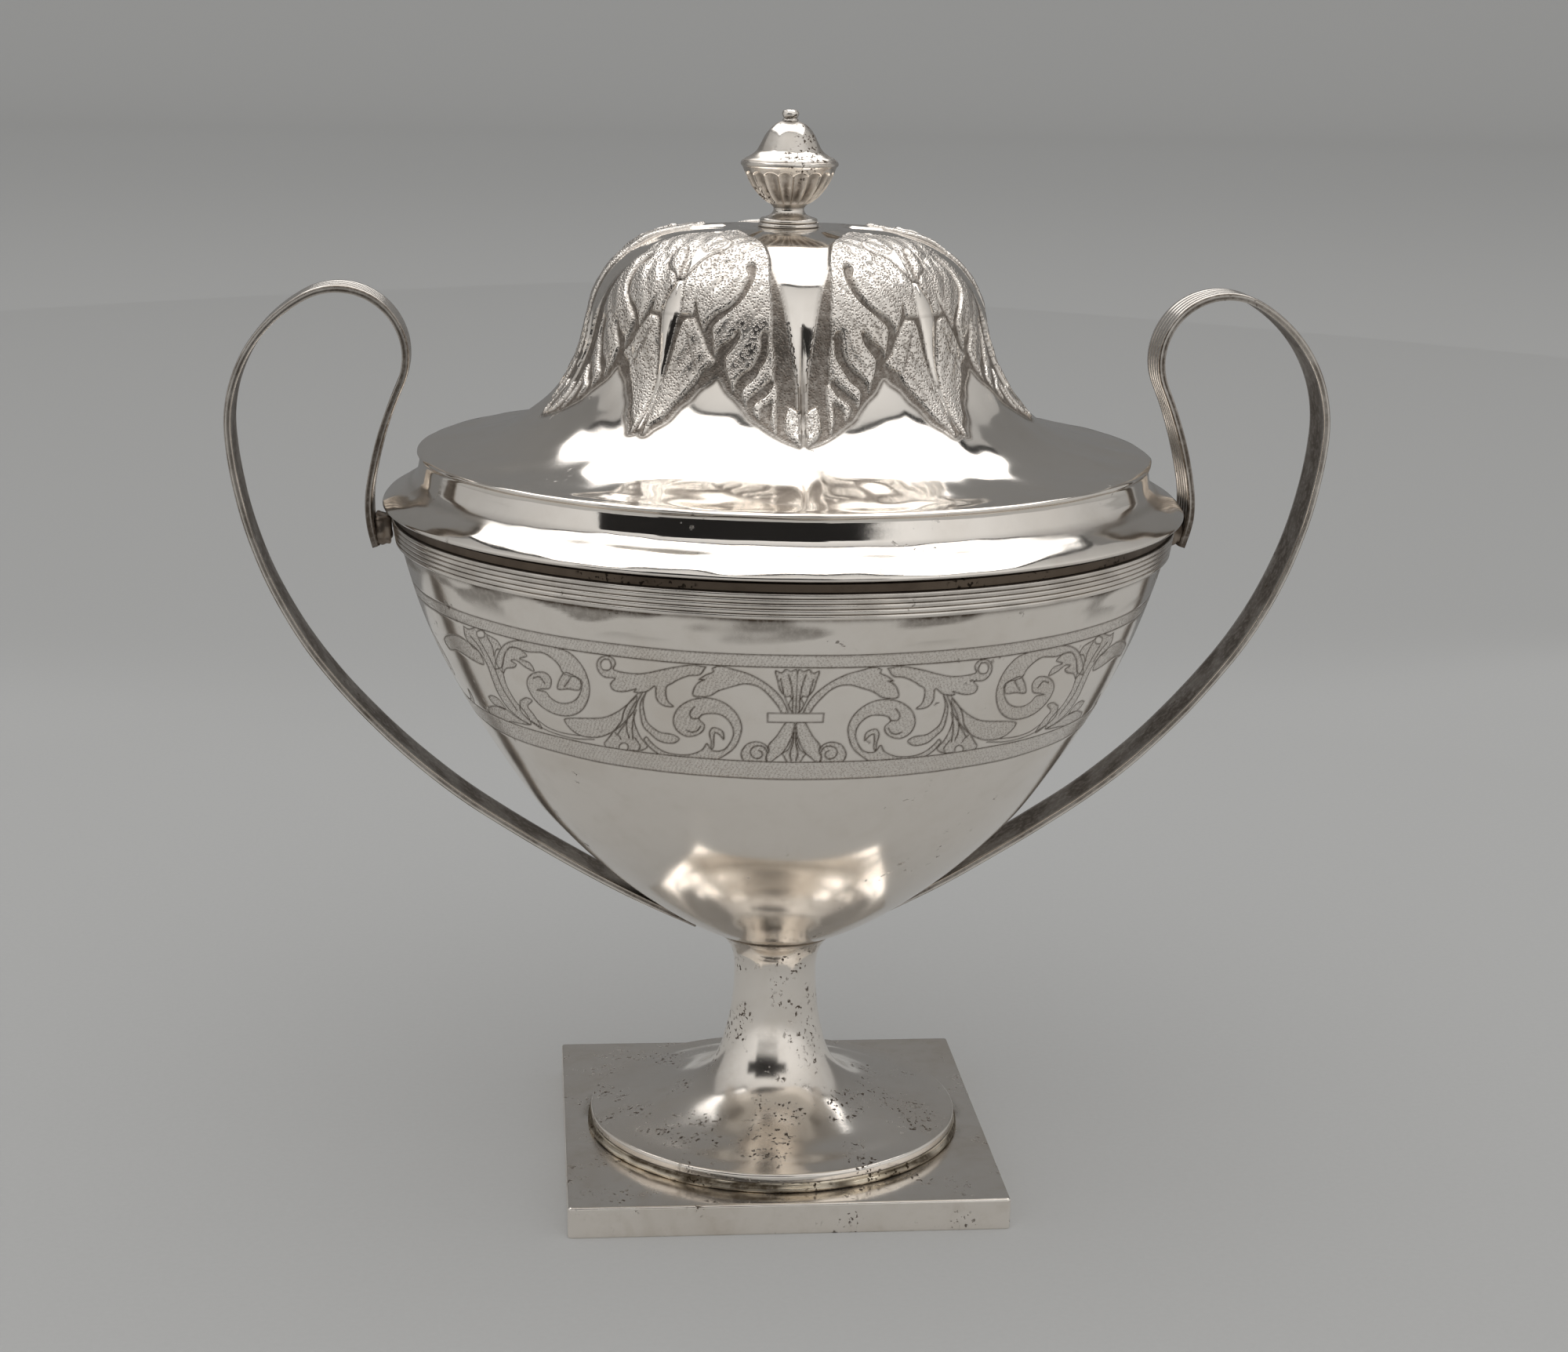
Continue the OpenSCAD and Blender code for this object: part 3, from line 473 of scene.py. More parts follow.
M_BOWL = silver("silver_bowl", rough=0.13, clouds=0.34, pits=0.22, pit_scale=260.0, stipple=0.03, stipple_scale=3000.0, matte=0.04, speckle=0.45, seed=3.1)
M_LID = silver("silver_lid", rough=0.085, clouds=0.25, pits=0.15, stipple=0.10, stipple_scale=2300.0, matte=0.08, speckle=0.75, seed=7.7)
M_FOOT = silver("silver_foot", rough=0.14, clouds=0.45, pits=0.84, pit_scale=520.0, seed=1.9)
M_PLINTH = silver("silver_plinth", rough=0.13, clouds=0.75, pits=0.68, pit_scale=460.0, seed=5.3)
M_STRAP = silver("silver_straps", rough=0.10, clouds=0.30, pits=0.25, pit_scale=500.0, seed=2.2)
M_FINIAL = silver("silver_finial", warm=(0.50, 0.41, 0.31), rough=0.12, clouds=0.75, pits=0.95, pit_scale=620.0, scratch=2.0, seed=9.4)
M_RIM = silver("silver_rim", rough=0.12, clouds=0.40, pits=0.20, pit_scale=500.0, seed=4.6)
M_SOLDER = silver("silver_solder", bright=(0.84, 0.76, 0.63), warm=(0.44, 0.34, 0.20), dark=(0.07, 0.05, 0.03), rough=0.16, clouds=0.9, pits=0.8, pit_scale=500.0, scratch=2.0, seed=4.2)
# dark grimy silver, darkened further as painted shade; used for the lugs and the finial's washer and nut
M_GRIME_AND_SHADE = silver("silver_grimy_and_shaded", bright=(0.31, 0.26, 0.215), warm=(0.13, 0.10, 0.08), rough=0.30, clouds=0.8, pits=0.8, pit_scale=600.0, scratch=2.0, seed=6.0)

# ---------------------------------------------------------------- plinth
HALF, PLATE, HOLE = 40.0, 5.9, 30.0


def square_loop(h, rc, per=22):
    """Points round a square of half side h with corner radius rc, counterclockwise from the middle of the front."""
    pts = []
    for k in range(4):
        a = k * math.pi / 2
        side = []
        for i in range(per):
            s = 0.5 * (1 - math.cos(math.pi * i / (per - 1)))
            side.append((0.0 + s * (h - rc), -h))
        for i in range(1, 8):
            w = i / 8 * math.pi / 2
            side.append((h - rc + rc * math.sin(w), -h + rc - rc * math.cos(w)))
        for i in range(per - 1):
            s = 0.5 * (1 - math.cos(math.pi * i / (per - 1)))
            side.append((h, -h + rc + s * (h - rc)))
        c, s_ = math.cos(a), math.sin(a)
        pts += [(c * x - s_ * y, s_ * x + c * y) for x, y in side]
    return np.array(pts)


def plinth():
    outer = square_loop(HALF, 0.7)
    ang = np.arctan2(outer[:, 0], -outer[:, 1])
    hole = np.stack([HOLE * np.sin(ang), -HOLE * np.cos(ang)], 1)
    rows = []

    def add(loop, z, tarn=0.0):
        P = np.column_stack([loop, np.full(len(loop), z)])
        rows.append((P, {"tarn": tarn}))

    # bottom edge inside, up the back, under the plate, the hole, over the top and down the sides
    inset = lambda d: square_loop(HALF - d, max(0.7 - d, 0.12))
    side = []
    for z in (0.0, 0.12, 0.3):
        side.append((inset(0.25 - 0.25 * smooth(0, 0.3, z)), z))
    for z in (1.5, 3.0, 4.5, 5.35):
        side.append((inset(0.0), z))
    for w in np.linspace(0.15, 1, 6) * math.pi / 2:
        side.append((inset(0.45 * (1 - math.cos(w))), 5.45 + 0.45 * math.sin(w)))
    top_edge = inset(0.45)
    for l, z in side:
        add(l, z)
    for f in np.linspace(0.04, 1, 26):
        L = top_edge * (1 - f) + hole * f
        add(L, PLATE)
    add(hole, PLATE - 0.8)
    for f in (0.75, 0.5, 0.25, 0.0):
        add(inset(0.8) * (1 - f) + hole * f, PLATE - 0.8, 0.6)
    add(inset(0.8), 3.0, 0.6)
    add(inset(0.8), 0.15, 0.3)
    add(inset(0.55), 0.0, 0.2)
    out = []
    for P, a in rows:
        r = np.hypot(P[:, 0], P[:, 1])
        d = waves(P, 40, 14, 40, 11) * 0.018
        P = P.copy()
        near_top = smooth(4.9, 5.9, P[:, 2])
        P[:, 2] += d * near_top - 0.02 * near_top
        n = np.abs(P[:, :2]) > HALF - 0.2
        if a["tarn"] == 0.0:
            a = {"tarn": 0.75 * near_top * bell(np.maximum(r - 35.6, 0), 1.0) * (0.5 + 0.5 * np.clip(waves(P, 20, 6, 25, 5), -1, 1))}
        out.append((P, a))
    return lathe("plinth_shell", out, closed=True, sharp=50)


finish_piece(plinth(), "bowl_body", "silver", M_PLINTH, "plinth_plate", "plinth_sides")

# ---------------------------------------------------------------- foot
FOOT_RING = [(32.6, 5.92), (35.2, 5.92), (35.48, 6.1), (35.5, 6.45), (35.38, 6.75), (35.12, 7.0), (35.1, 7.3), (35.0, 7.58), (32.6, 7.58)]
rows = []
P = np.vstack([crom(FOOT_RING[:8], 0.12), [FOOT_RING[8]]])
rows = turned(P, 720, lambda p, j: waves(p * [1, 1, 3], 50, 3, 16, 21) * (0.05 if 0.5 < j < len(P) - 2 else 0.0), {"tarn": 0.0})
rows = [(q, {"tarn": np.clip(0.30 + 0.5 * waves(q * [1, 1, 4], 30, 5, 18, 22) + 0.5 * bell(q[:, 2] - 7.15, 0.35), 0, 0.95)}) for q, _ in rows]
finish_piece(lathe("foot_ring_solder", rows, sharp=60), "bowl_body", "dark_silver", M_SOLDER, "foot_ring")

FOOT_OUT = [(34.9, 7.62), (34.93, 8.2), (34.9, 8.8), (34.78, 9.08), (34.5, 9.2), (34.1, 9.22), (33.2, 9.27), (31, 9.55), (28.5, 10.1), (23, 11.2), (18.4, 12.7), (14.6, 14.8), (12, 17.2),
            (10.4, 20), (9.2, 24), (8.4, 28), (8, 32), (7.8, 35.5), (7.9, 38.5), (8.5, 41), (9.7, 42.9), (11, 44.2)]
P = crom(FOOT_OUT, 0.35)
back = offset(P, 0.7)[3:-1][::-1]
back = back[::4]


def foot_lift(p, j):
    z = p[:, 2].mean()
    return waves(p, 40, 7, 22, 31) * 0.045 * smooth(8.9, 11.0, z) * (1 - smooth(38, 43, z))


tarn = 0.9 * bell(P[:, 1] - 7.62, 0.16) + 0.35 * smooth(43.2, 44.0, P[:, 1])
rows = turned(P, 360, foot_lift, {"tarn": tarn}) + turned(back, 360, None, {"tarn": 0.5})
finish_piece(lathe("foot_trumpet", rows, sharp=60), "bowl_body", "silver", M_FOOT, "foot")

# ---------------------------------------------------------------- bowl with its engraved band
BOWL_OUT = [(0, 43.5), (5, 43.6), (10.8, 44.5), (16, 46.9), (22, 50.6), (28, 54.9), (34, 59.9), (40, 65.7), (45.6, 72), (51.2, 80), (56.3, 88), (60.7, 96),
            (64.4, 104), (67.3, 112), (69.5, 119.9), (70.25, 124.4)]
B = crom(BOWL_OUT, 0.4)
BZ = B[:, 1]
LINES = (90.0, 93.5, 111.4, 113.6)
BAND = (89.4, 114.2)


def r_bowl(z):
    return np.interp(z, BZ, B[:, 0])


def band_field(step=1.0 / 6, dz=0.185):
    """Depth, grime and hatching of the engraved band on a map of a quarter turn."""
    th = np.arange(0, 90 + step / 2, step)
    z = np.arange(BAND[0], BAND[1] + dz / 2, dz)
    TH, Z = np.meshgrid(th, z, indexing="ij")
    k = math.pi / 180
    X = TH * k * r_bowl(Z)
    Y = Z * 1.085

    def to_map(pts, mirror=False):
        p = np.array(pts, float)
        if mirror:
            p[:, 0] = 90 - p[:, 0]
        return np.stack([p[:, 0] * k * r_bowl(p[:, 1]), p[:, 1] * 1.085], 1)

    D = np.full(X.shape, 3.0)
    fill = np.zeros(X.shape, bool)
    filled = ("f1", "f2", "f3", "f4", "f5", "f5b", "vine", "fan", "v", "vcurl", "t", "g1", "g2", "g3", "g4", "g5a", "g5b", "g5c", "g6")
    rings = ("f2eye", "f5ring", "g4ring")
    again = ("f3", "f3hook", "f3in", "f4", "fan", "fanv0", "fanv1", "v", "vcurl", "vspiral", "t", "tv0")
    for name, pts in SCROLLS.items():
        if name == "clasp":
            continue
        for mirror in ((False, True) if name in again else (False,)):
            shut = name in filled or name in rings
            p = to_map(pts, mirror)
            c = crom(np.vstack([p, p[:1]]) if shut else p, 0.5)
            D = np.minimum(D, line_distance(X, Y, c, False, 1.2))
            if name in filled:
                fill |= inside(X, Y, c)
            if name in rings:
                fill &= ~inside(X, Y, c)
    # the plain clasp in the middle
    clasp = (TH < 4.1) & (Z > 101.3) & (Z < 103.0)
    D = np.where(clasp, 3.0, D)
    fill &= ~clasp
    edge = to_map([(0, 101.3), (4.1, 101.3), (4.1, 103.0), (0, 103.0)])
    D = np.minimum(D, line_distance(X, Y, edge, False, 1.2))
    fill &= (Z > LINES[1]) & (Z < LINES[2])
    D = np.where((Z > LINES[1] - 0.05) & (Z < LINES[2] + 0.05), D, 3.0)
    L = np.min([np.abs(Z - q) * 1.085 for q in LINES], axis=0)
    D = np.minimum(D, L)
    strip = ((Z > LINES[0]) & (Z < LINES[1])) | ((Z > LINES[2]) & (Z < LINES[3]))
    # short hatch strokes inside the leaves and on the border strips
    hatch = 0.5 + 0.5 * np.cos(2 * math.pi * (X * 0.9 + Y * 0.35) / 0.62 + 1.3 * np.sin(Y * 1.7) + 0.9 * np.sin(X * 0.83))
    tone = np.where(fill, 1.0, 0.0) + np.where(strip, 0.9, 0.0)
    depth = -0.085 * bell(D, 0.17) - 0.024 * tone * hatch
    tarn = np.clip(0.95 * bell(D, 0.15) + tone * (0.03 + 0.22 * hatch ** 2), 0, 1)
    return th, z, depth, tarn, tone


def bowl():
    th, zb, depth, tarn, tone = band_field()
    n = 2160
    t = np.arange(n) * 360.0 / n
    rel = np.abs((t + 3.0 + 180) % 360 - 180)
    rel = np.where(rel > 90, 180 - rel, rel)
    f = rel / (th[1] - th[0])
    i0 = np.clip(np.floor(f).astype(int), 0, len(th) - 2)
    w = f - i0
    lerp = lambda A, j: A[i0, j] * (1 - w) + A[i0 + 1, j] * w
    N = normals(B)
    nr, nz = (lambda z: np.interp(z, BZ, N[:, 0])), (lambda z: np.interp(z, BZ, N[:, 1]))
    rows = []

    def put(r, z, cols, d=0.0, at=None, uneven=0.045):
        pts, _ = ring(r, z, cols)
        e = waves(pts, 50, 9, 34, 41) * uneven * float(smooth(46, 58, z) * (1 - smooth(118, 123, z)))
        a, c = nr(z), nz(z)
        pts, _ = ring(r + a * (d + e), z + c * (d + e), cols)
        rows.append((pts, at or {"tarn": 0.0, "stip": 0.0}))

    low = resample(B[BZ < BAND[0] - 0.3], np.linspace(0.6, length(B[BZ < BAND[0] - 0.3]), 86))
    for r, z in low:
        put(r, z, 360, at={"tarn": 0.35 * float(bell(max(r - 11.0, 0), 0.5)) , "stip": 0.0})
    for j, z in enumerate(zb):
        put(r_bowl(z), z, n, lerp(depth, j), {"tarn": lerp(tarn, j), "stip": lerp(tone, j)})
    for z in np.linspace(BAND[1] + 0.4, 124.2, 26):
        pts, _ = ring(r_bowl(z), z, 360)
        smear = smooth(0.0, 1.0, waves(pts * [1, 1, 5], 30, 8, 36, 43)) * smooth(114.0, 118.0, z)
        put(r_bowl(z), z, 360, at={"tarn": np.clip(0.75 * float(bell(z - 119.9, 0.5)) + 0.62 * smear, 0, 1), "stip": 0.0})
    # rounded lip, then down the inside
    for r, z in ((70.1, 124.38), (69.9, 124.42), (69.65, 124.36), (69.5, 124.1)):
        put(r, z, 360, uneven=0.0, at={"tarn": 0.4, "stip": 0.0})
    inner = offset(crom(BOWL_OUT, 2.2), 0.7)
    inner = inner[(inner[:, 0] > 0.8) & (inner[:, 1] < 122.5)][::-1]
    for r, z in inner:
        put(r, z, 360, uneven=0.0, at={"tarn": 0.25, "stip": 0.0})
    return lathe("bowl_raised", rows, closed=False, poles=True, sharp=70)


finish_piece(bowl(), "bowl_body", "silver", M_BOWL, "bowl")

# reeded band round the mouth
Z0, TOP, REEDS, OUT = 119.9, 124.4, 5, 0.95
pitch = (TOP - Z0) / REEDS
# the groove between each pair of reeds is painted dark, partly as tarnish and partly as painted shade
line, darkening = [], []
for i in range(REEDS):
    for a in np.linspace(0, math.pi, 13)[:(12 if i < REEDS - 1 else 13)]:
        z = Z0 + pitch * (i + 0.5 - math.cos(a) / 2)
        line.append((69.5 + 0.75 * (i + 0.5 - math.cos(a) / 2) / REEDS + OUT - 0.46 + 0.46 * math.sin(a) ** 0.8, z))
        darkening.append(1.0 * (1 - math.sin(a)) ** 1.6)
line = [(69.55, Z0)] + line + [(69.95, TOP)]
darkening = [0.6] + darkening + [0.5]
P = np.array(line)
rows = []
for (r, z), g in zip(P, darkening):
    pts, _ = ring(r, z, 720)
    e = waves(pts, 40, 12, 40, 51) * 0.03
    dull = 0.16 + 0.14 * np.clip(waves(pts * [1, 1, 3], 20, 7, 30, 52), -1, 1)
    rows.append((ring(r + e, z + e * 0.5, 720)[0], {"tarn": np.clip(g * 0.9 + dull, 0, 1)}))
finish_piece(lathe("rim_reeds", rows, sharp=75), "bowl_body", "silver", M_RIM, "rim_moulding")

# ---------------------------------------------------------------- handles
ARCS = [(300, 8.4), (125, 18.9), (79.5, 32.5), (26.3, 66), (11.9, 143), (75, -14.5), (24, -27.5)]


def middle_line(step=1.0):
    x, z, h = 15.4, 46.7, math.radians(25.5)
    out = [(x, z, h)]
    for R, sweep in ARCS:
        n = max(4, int(R * abs(math.radians(sweep)) / step))
        d = math.radians(sweep) / n
        for _ in range(n):
            l = 2 * R * abs(math.sin(d / 2))
            x += l * math.cos(h + d / 2)
            z += l * math.sin(h + d / 2)
            h += d
            out.append((x, z, h))
    return np.array(out)


def strap(name, side):
    L = middle_line(0.9)
    s = np.concatenate([[0], np.cumsum(np.hypot(np.diff(L[:, 0]), np.diff(L[:, 1])))])
    total = s[-1]
    W, T, NR, RH = 10.0, 1.1, 5, 0.30
    # section: [across, out], counterclockwise, the reeded face outward
    face, darkening = [], []
    p = (W - 0.5) / NR
    for i in range(NR):
        for a in np.linspace(0, math.pi, 9)[:(8 if i < NR - 1 else 9)]:
            face.append((-(W - 0.5) / 2 + p * (i + 0.5 - math.cos(a) / 2), T / 2 - 0.17 + (RH + 0.15) * math.sin(a) ** 0.7))
            darkening.append(min(1.0, 1.35 * (1 - math.sin(a)) ** 1.1))
    edge_r = [(W / 2, T / 2 - 0.12), (W / 2, 0.1), (W / 2 - 0.03, 0.0), (W / 2, -0.1), (W / 2, -T / 2 + 0.2), (W / 2 - 0.1, -T / 2 + 0.05), (W / 2 - 0.3, -T / 2)]
    under = [(x, -T / 2) for x in np.linspace(W / 2 - 1, -W / 2 + 1, 9)]
    sec = face + edge_r + under + [(-x, y) for x, y in edge_r[::-1]]
    # painted shade together with tarnish: the grooves between the reeds, the edges and the underside are painted dark;
    # the top and bottom corners of each edge are left clear so they read as bright lines
    darkening = darkening + [0.0, 0.65, 0.9, 0.9, 0.6, 0.05, 0.4] + [0.95] * 9 + [0.4, 0.05, 0.6, 0.9, 0.9, 0.65, 0.0]
    sec = np.array(sec)
    darkening = np.array(darkening)
    n = len(sec)
    co, at = [], []
    for j, (x, z, h) in enumerate(L):
        left = total - s[j]
        w = 1.0 - 0.30 * (1 - smooth(0.0, 7.0, left))
        thin = 1.0 - 0.35 * (1 - smooth(0.0, 16.0, s[j]))
        b = sec[:, 0] * w
        o = np.where(sec[:, 1] > 0, sec[:, 1] * thin, sec[:, 1])
        P = np.stack([x + o * math.sin(h), b, z - o * math.cos(h)], 1)
        P += (waves(P, 30, 10, 45, 61 + (side > 0)) * 0.035)[:, None] * np.array([math.sin(h), 0, -math.cos(h)])
        co.append(P)
        end = 0.6 * float(bell(left, 4.0)) + 0.35 * float(bell(left, 34.0)) + 0.55 * float(bell(s[j], 6.0))
        at.append(np.clip(darkening * 0.95 + end + 0.12 * np.clip(waves(P, 20, 6, 20, 65), -1, 1), 0, 0.96))
    m = len(co)
    co = np.concatenate(co)
    at = np.concatenate(at)
    co[:, 0] *= side
    i = np.arange(n)
    k = (i + 1) % n
    quads, quv = [], []
    g = np.concatenate([[0], np.cumsum(np.hypot(*np.diff(np.vstack([sec, sec[:1]]), axis=0).T))])
    g = g / g[-1]
    for j in range(m - 1):
        q = np.stack([j * n + i, j * n + k, (j + 1) * n + k, (j + 1) * n + i], 1)
        quads.append(q if side < 0 else q[:, ::-1])
        v0, v1 = 0.02 + 0.96 * s[j] / total, 0.02 + 0.96 * s[j + 1] / total
        u = np.stack([g[i], 0 * i + v0, g[i + 1], 0 * i + v0, g[i + 1], 0 * i + v1, g[i], 0 * i + v1], 1)
        quv.append(u if side < 0 else u.reshape(-1, 4, 2)[:, ::-1].reshape(-1, 8))
    quads, quv = np.concatenate(quads), np.concatenate(quv)
    # close both ends with a fan from the middle
    tris, tuv = [], []
    for row, order, v in ((0, 1, 0.01), (m - 1, -1, 0.99)):
        c = co[row * n:(row + 1) * n].mean(0)
        co = np.vstack([co, c])
        at = np.append(at, 0.6)
        q = [0 * i + len(co) - 1, row * n + k, row * n + i] if (order > 0) == (side < 0) else [0 * i + len(co) - 1, row * n + i, row * n + k]
        tris.append(np.stack(q, 1))
        tuv.append(np.stack([g[i], 0 * i + (v - 0.005 if v < 0.5 else v + 0.005), g[i], 0 * i + v, g[i + 1], 0 * i + v], 1))
    tris, tuv = np.concatenate(tris), np.concatenate(tuv)
    return make(name, co, [quads, tris], [quv, tuv], {"tarn": at}, sharp=60)


for side, word in ((-1, "left"), (1, "right")):
    finish_piece(strap("strap_" + word, side), "bowl_body", "silver", M_STRAP, "handle_" + word)


def lug(name, side):
    """A small, lumpy soldered block: a rounded box whose inner face follows the rim."""
    n = 12
    hx, hy, hz, rho = 1.55, 3.2, 2.55, 0.55
    faces, co, uv, at = [], [], [], 0
    for f, (ax, sg) in enumerate(((0, 1), (0, -1), (1, 1), (1, -1), (2, 1), (2, -1))):
        a, b = np.meshgrid(np.linspace(-1, 1, n), np.linspace(-1, 1, n), indexing="ij")
        P = np.zeros((n, n, 3))
        P[..., ax] = sg
        P[..., (ax + 1) % 3] = a * sg
        P[..., (ax + 2) % 3] = b
        P = P * [hx, hy, hz]
        C = np.clip(P, [-hx + rho, -hy + rho, -hz + rho], [hx - rho, hy - rho, hz - rho])
        d = P - C
        P = C + rho * d / np.maximum(np.linalg.norm(d, axis=-1), 1e-9)[..., None]
        co.append(P.reshape(-1, 3))
        i, j = np.meshgrid(np.arange(n - 1), np.arange(n - 1), indexing="ij")
        q = np.stack([i * n + j, (i + 1) * n + j, (i + 1) * n + j + 1, i * n + j + 1], -1).reshape(-1, 4) + at
        faces.append(q)
        u = np.stack([i / (n - 1), j / (n - 1), (i + 1) / (n - 1), j / (n - 1), (i + 1) / (n - 1), (j + 1) / (n - 1), i / (n - 1), (j + 1) / (n - 1)], -1).reshape(-1, 8)
        u = u.reshape(-1, 4, 2) * [0.30, 0.45] + [0.01 + 0.33 * (f % 3), 0.02 + 0.49 * (f // 3)]
        uv.append(u.reshape(-1, 8))
        at += n * n
    co = np.concatenate(co)
    co += (waves(co, 40, 1.2, 4, 71 + (side > 0)) * 0.16)[:, None] * co / np.linalg.norm(co, axis=1)[:, None]
    inner = np.sqrt(71.15 ** 2 - np.clip(co[:, 1], -4, 4) ** 2)
    x = inner + (co[:, 0] + hx) / (2 * hx) * (74.0 - inner)
    co = np.stack([x * side, co[:, 1], 121.6 + co[:, 2]], 1)
    fs = np.concatenate(faces)
    us = np.concatenate(uv)
    if side < 0:
        fs = fs[:, ::-1]
        us = us.reshape(-1, 4, 2)[:, ::-1].reshape(-1, 8)
    ob = make(name, co, [fs], [us], {"tarn": 0.55 + 0.45 * np.clip(waves(co, 20, 1.5, 5, 73), -1, 1)})
    return ob


# the lugs are dark grimy silver with painted shade
for side, word in ((-1, "left"), (1, "right")):
    finish_piece(lug("lug_block_" + word, side), "bowl_body", "dark_silver", M_GRIME_AND_SHADE, "lug_" + word)

# ---------------------------------------------------------------- lid with its chased leaves
LIP = [(71.75, 126.6), (72.05, 126.52), (72.35, 126.55), (72.6, 126.8), (72.58, 127.15), (72.2, 127.6), (71.2, 128.45), (69.5, 129.5), (68.1, 130.3), (67.1, 131.05), (66.5, 131.8),
       (66.3, 132.6), (66.08, 133.8), (65.88, 135.1), (66.05, 135.5), (66.42, 135.8), (66.4, 136.07), (66.0, 136.3)]
DOME = [(66.4, 136.1), (65.4, 136.4), (60, 137.1), (55, 138.2), (51, 139.6), (47.4, 141.5), (44.2, 144), (41.3, 147), (39, 150.2), (37.3, 153.6), (36.2, 157), (35.4, 160.6),
        (34.5, 164), (32.7, 167.6), (29.8, 170.8), (25.2, 173.7), (19.6, 175.3), (12.5, 176.1), (6, 176.3), (1.3, 176.3)]
DOME_LINE = crom(DOME, 0.5)
SPEARS = (-78.2, -1.2, 75.8, 144.47, 213.13)      # azimuth of each polished spear
HALF_LEAF = 38.5


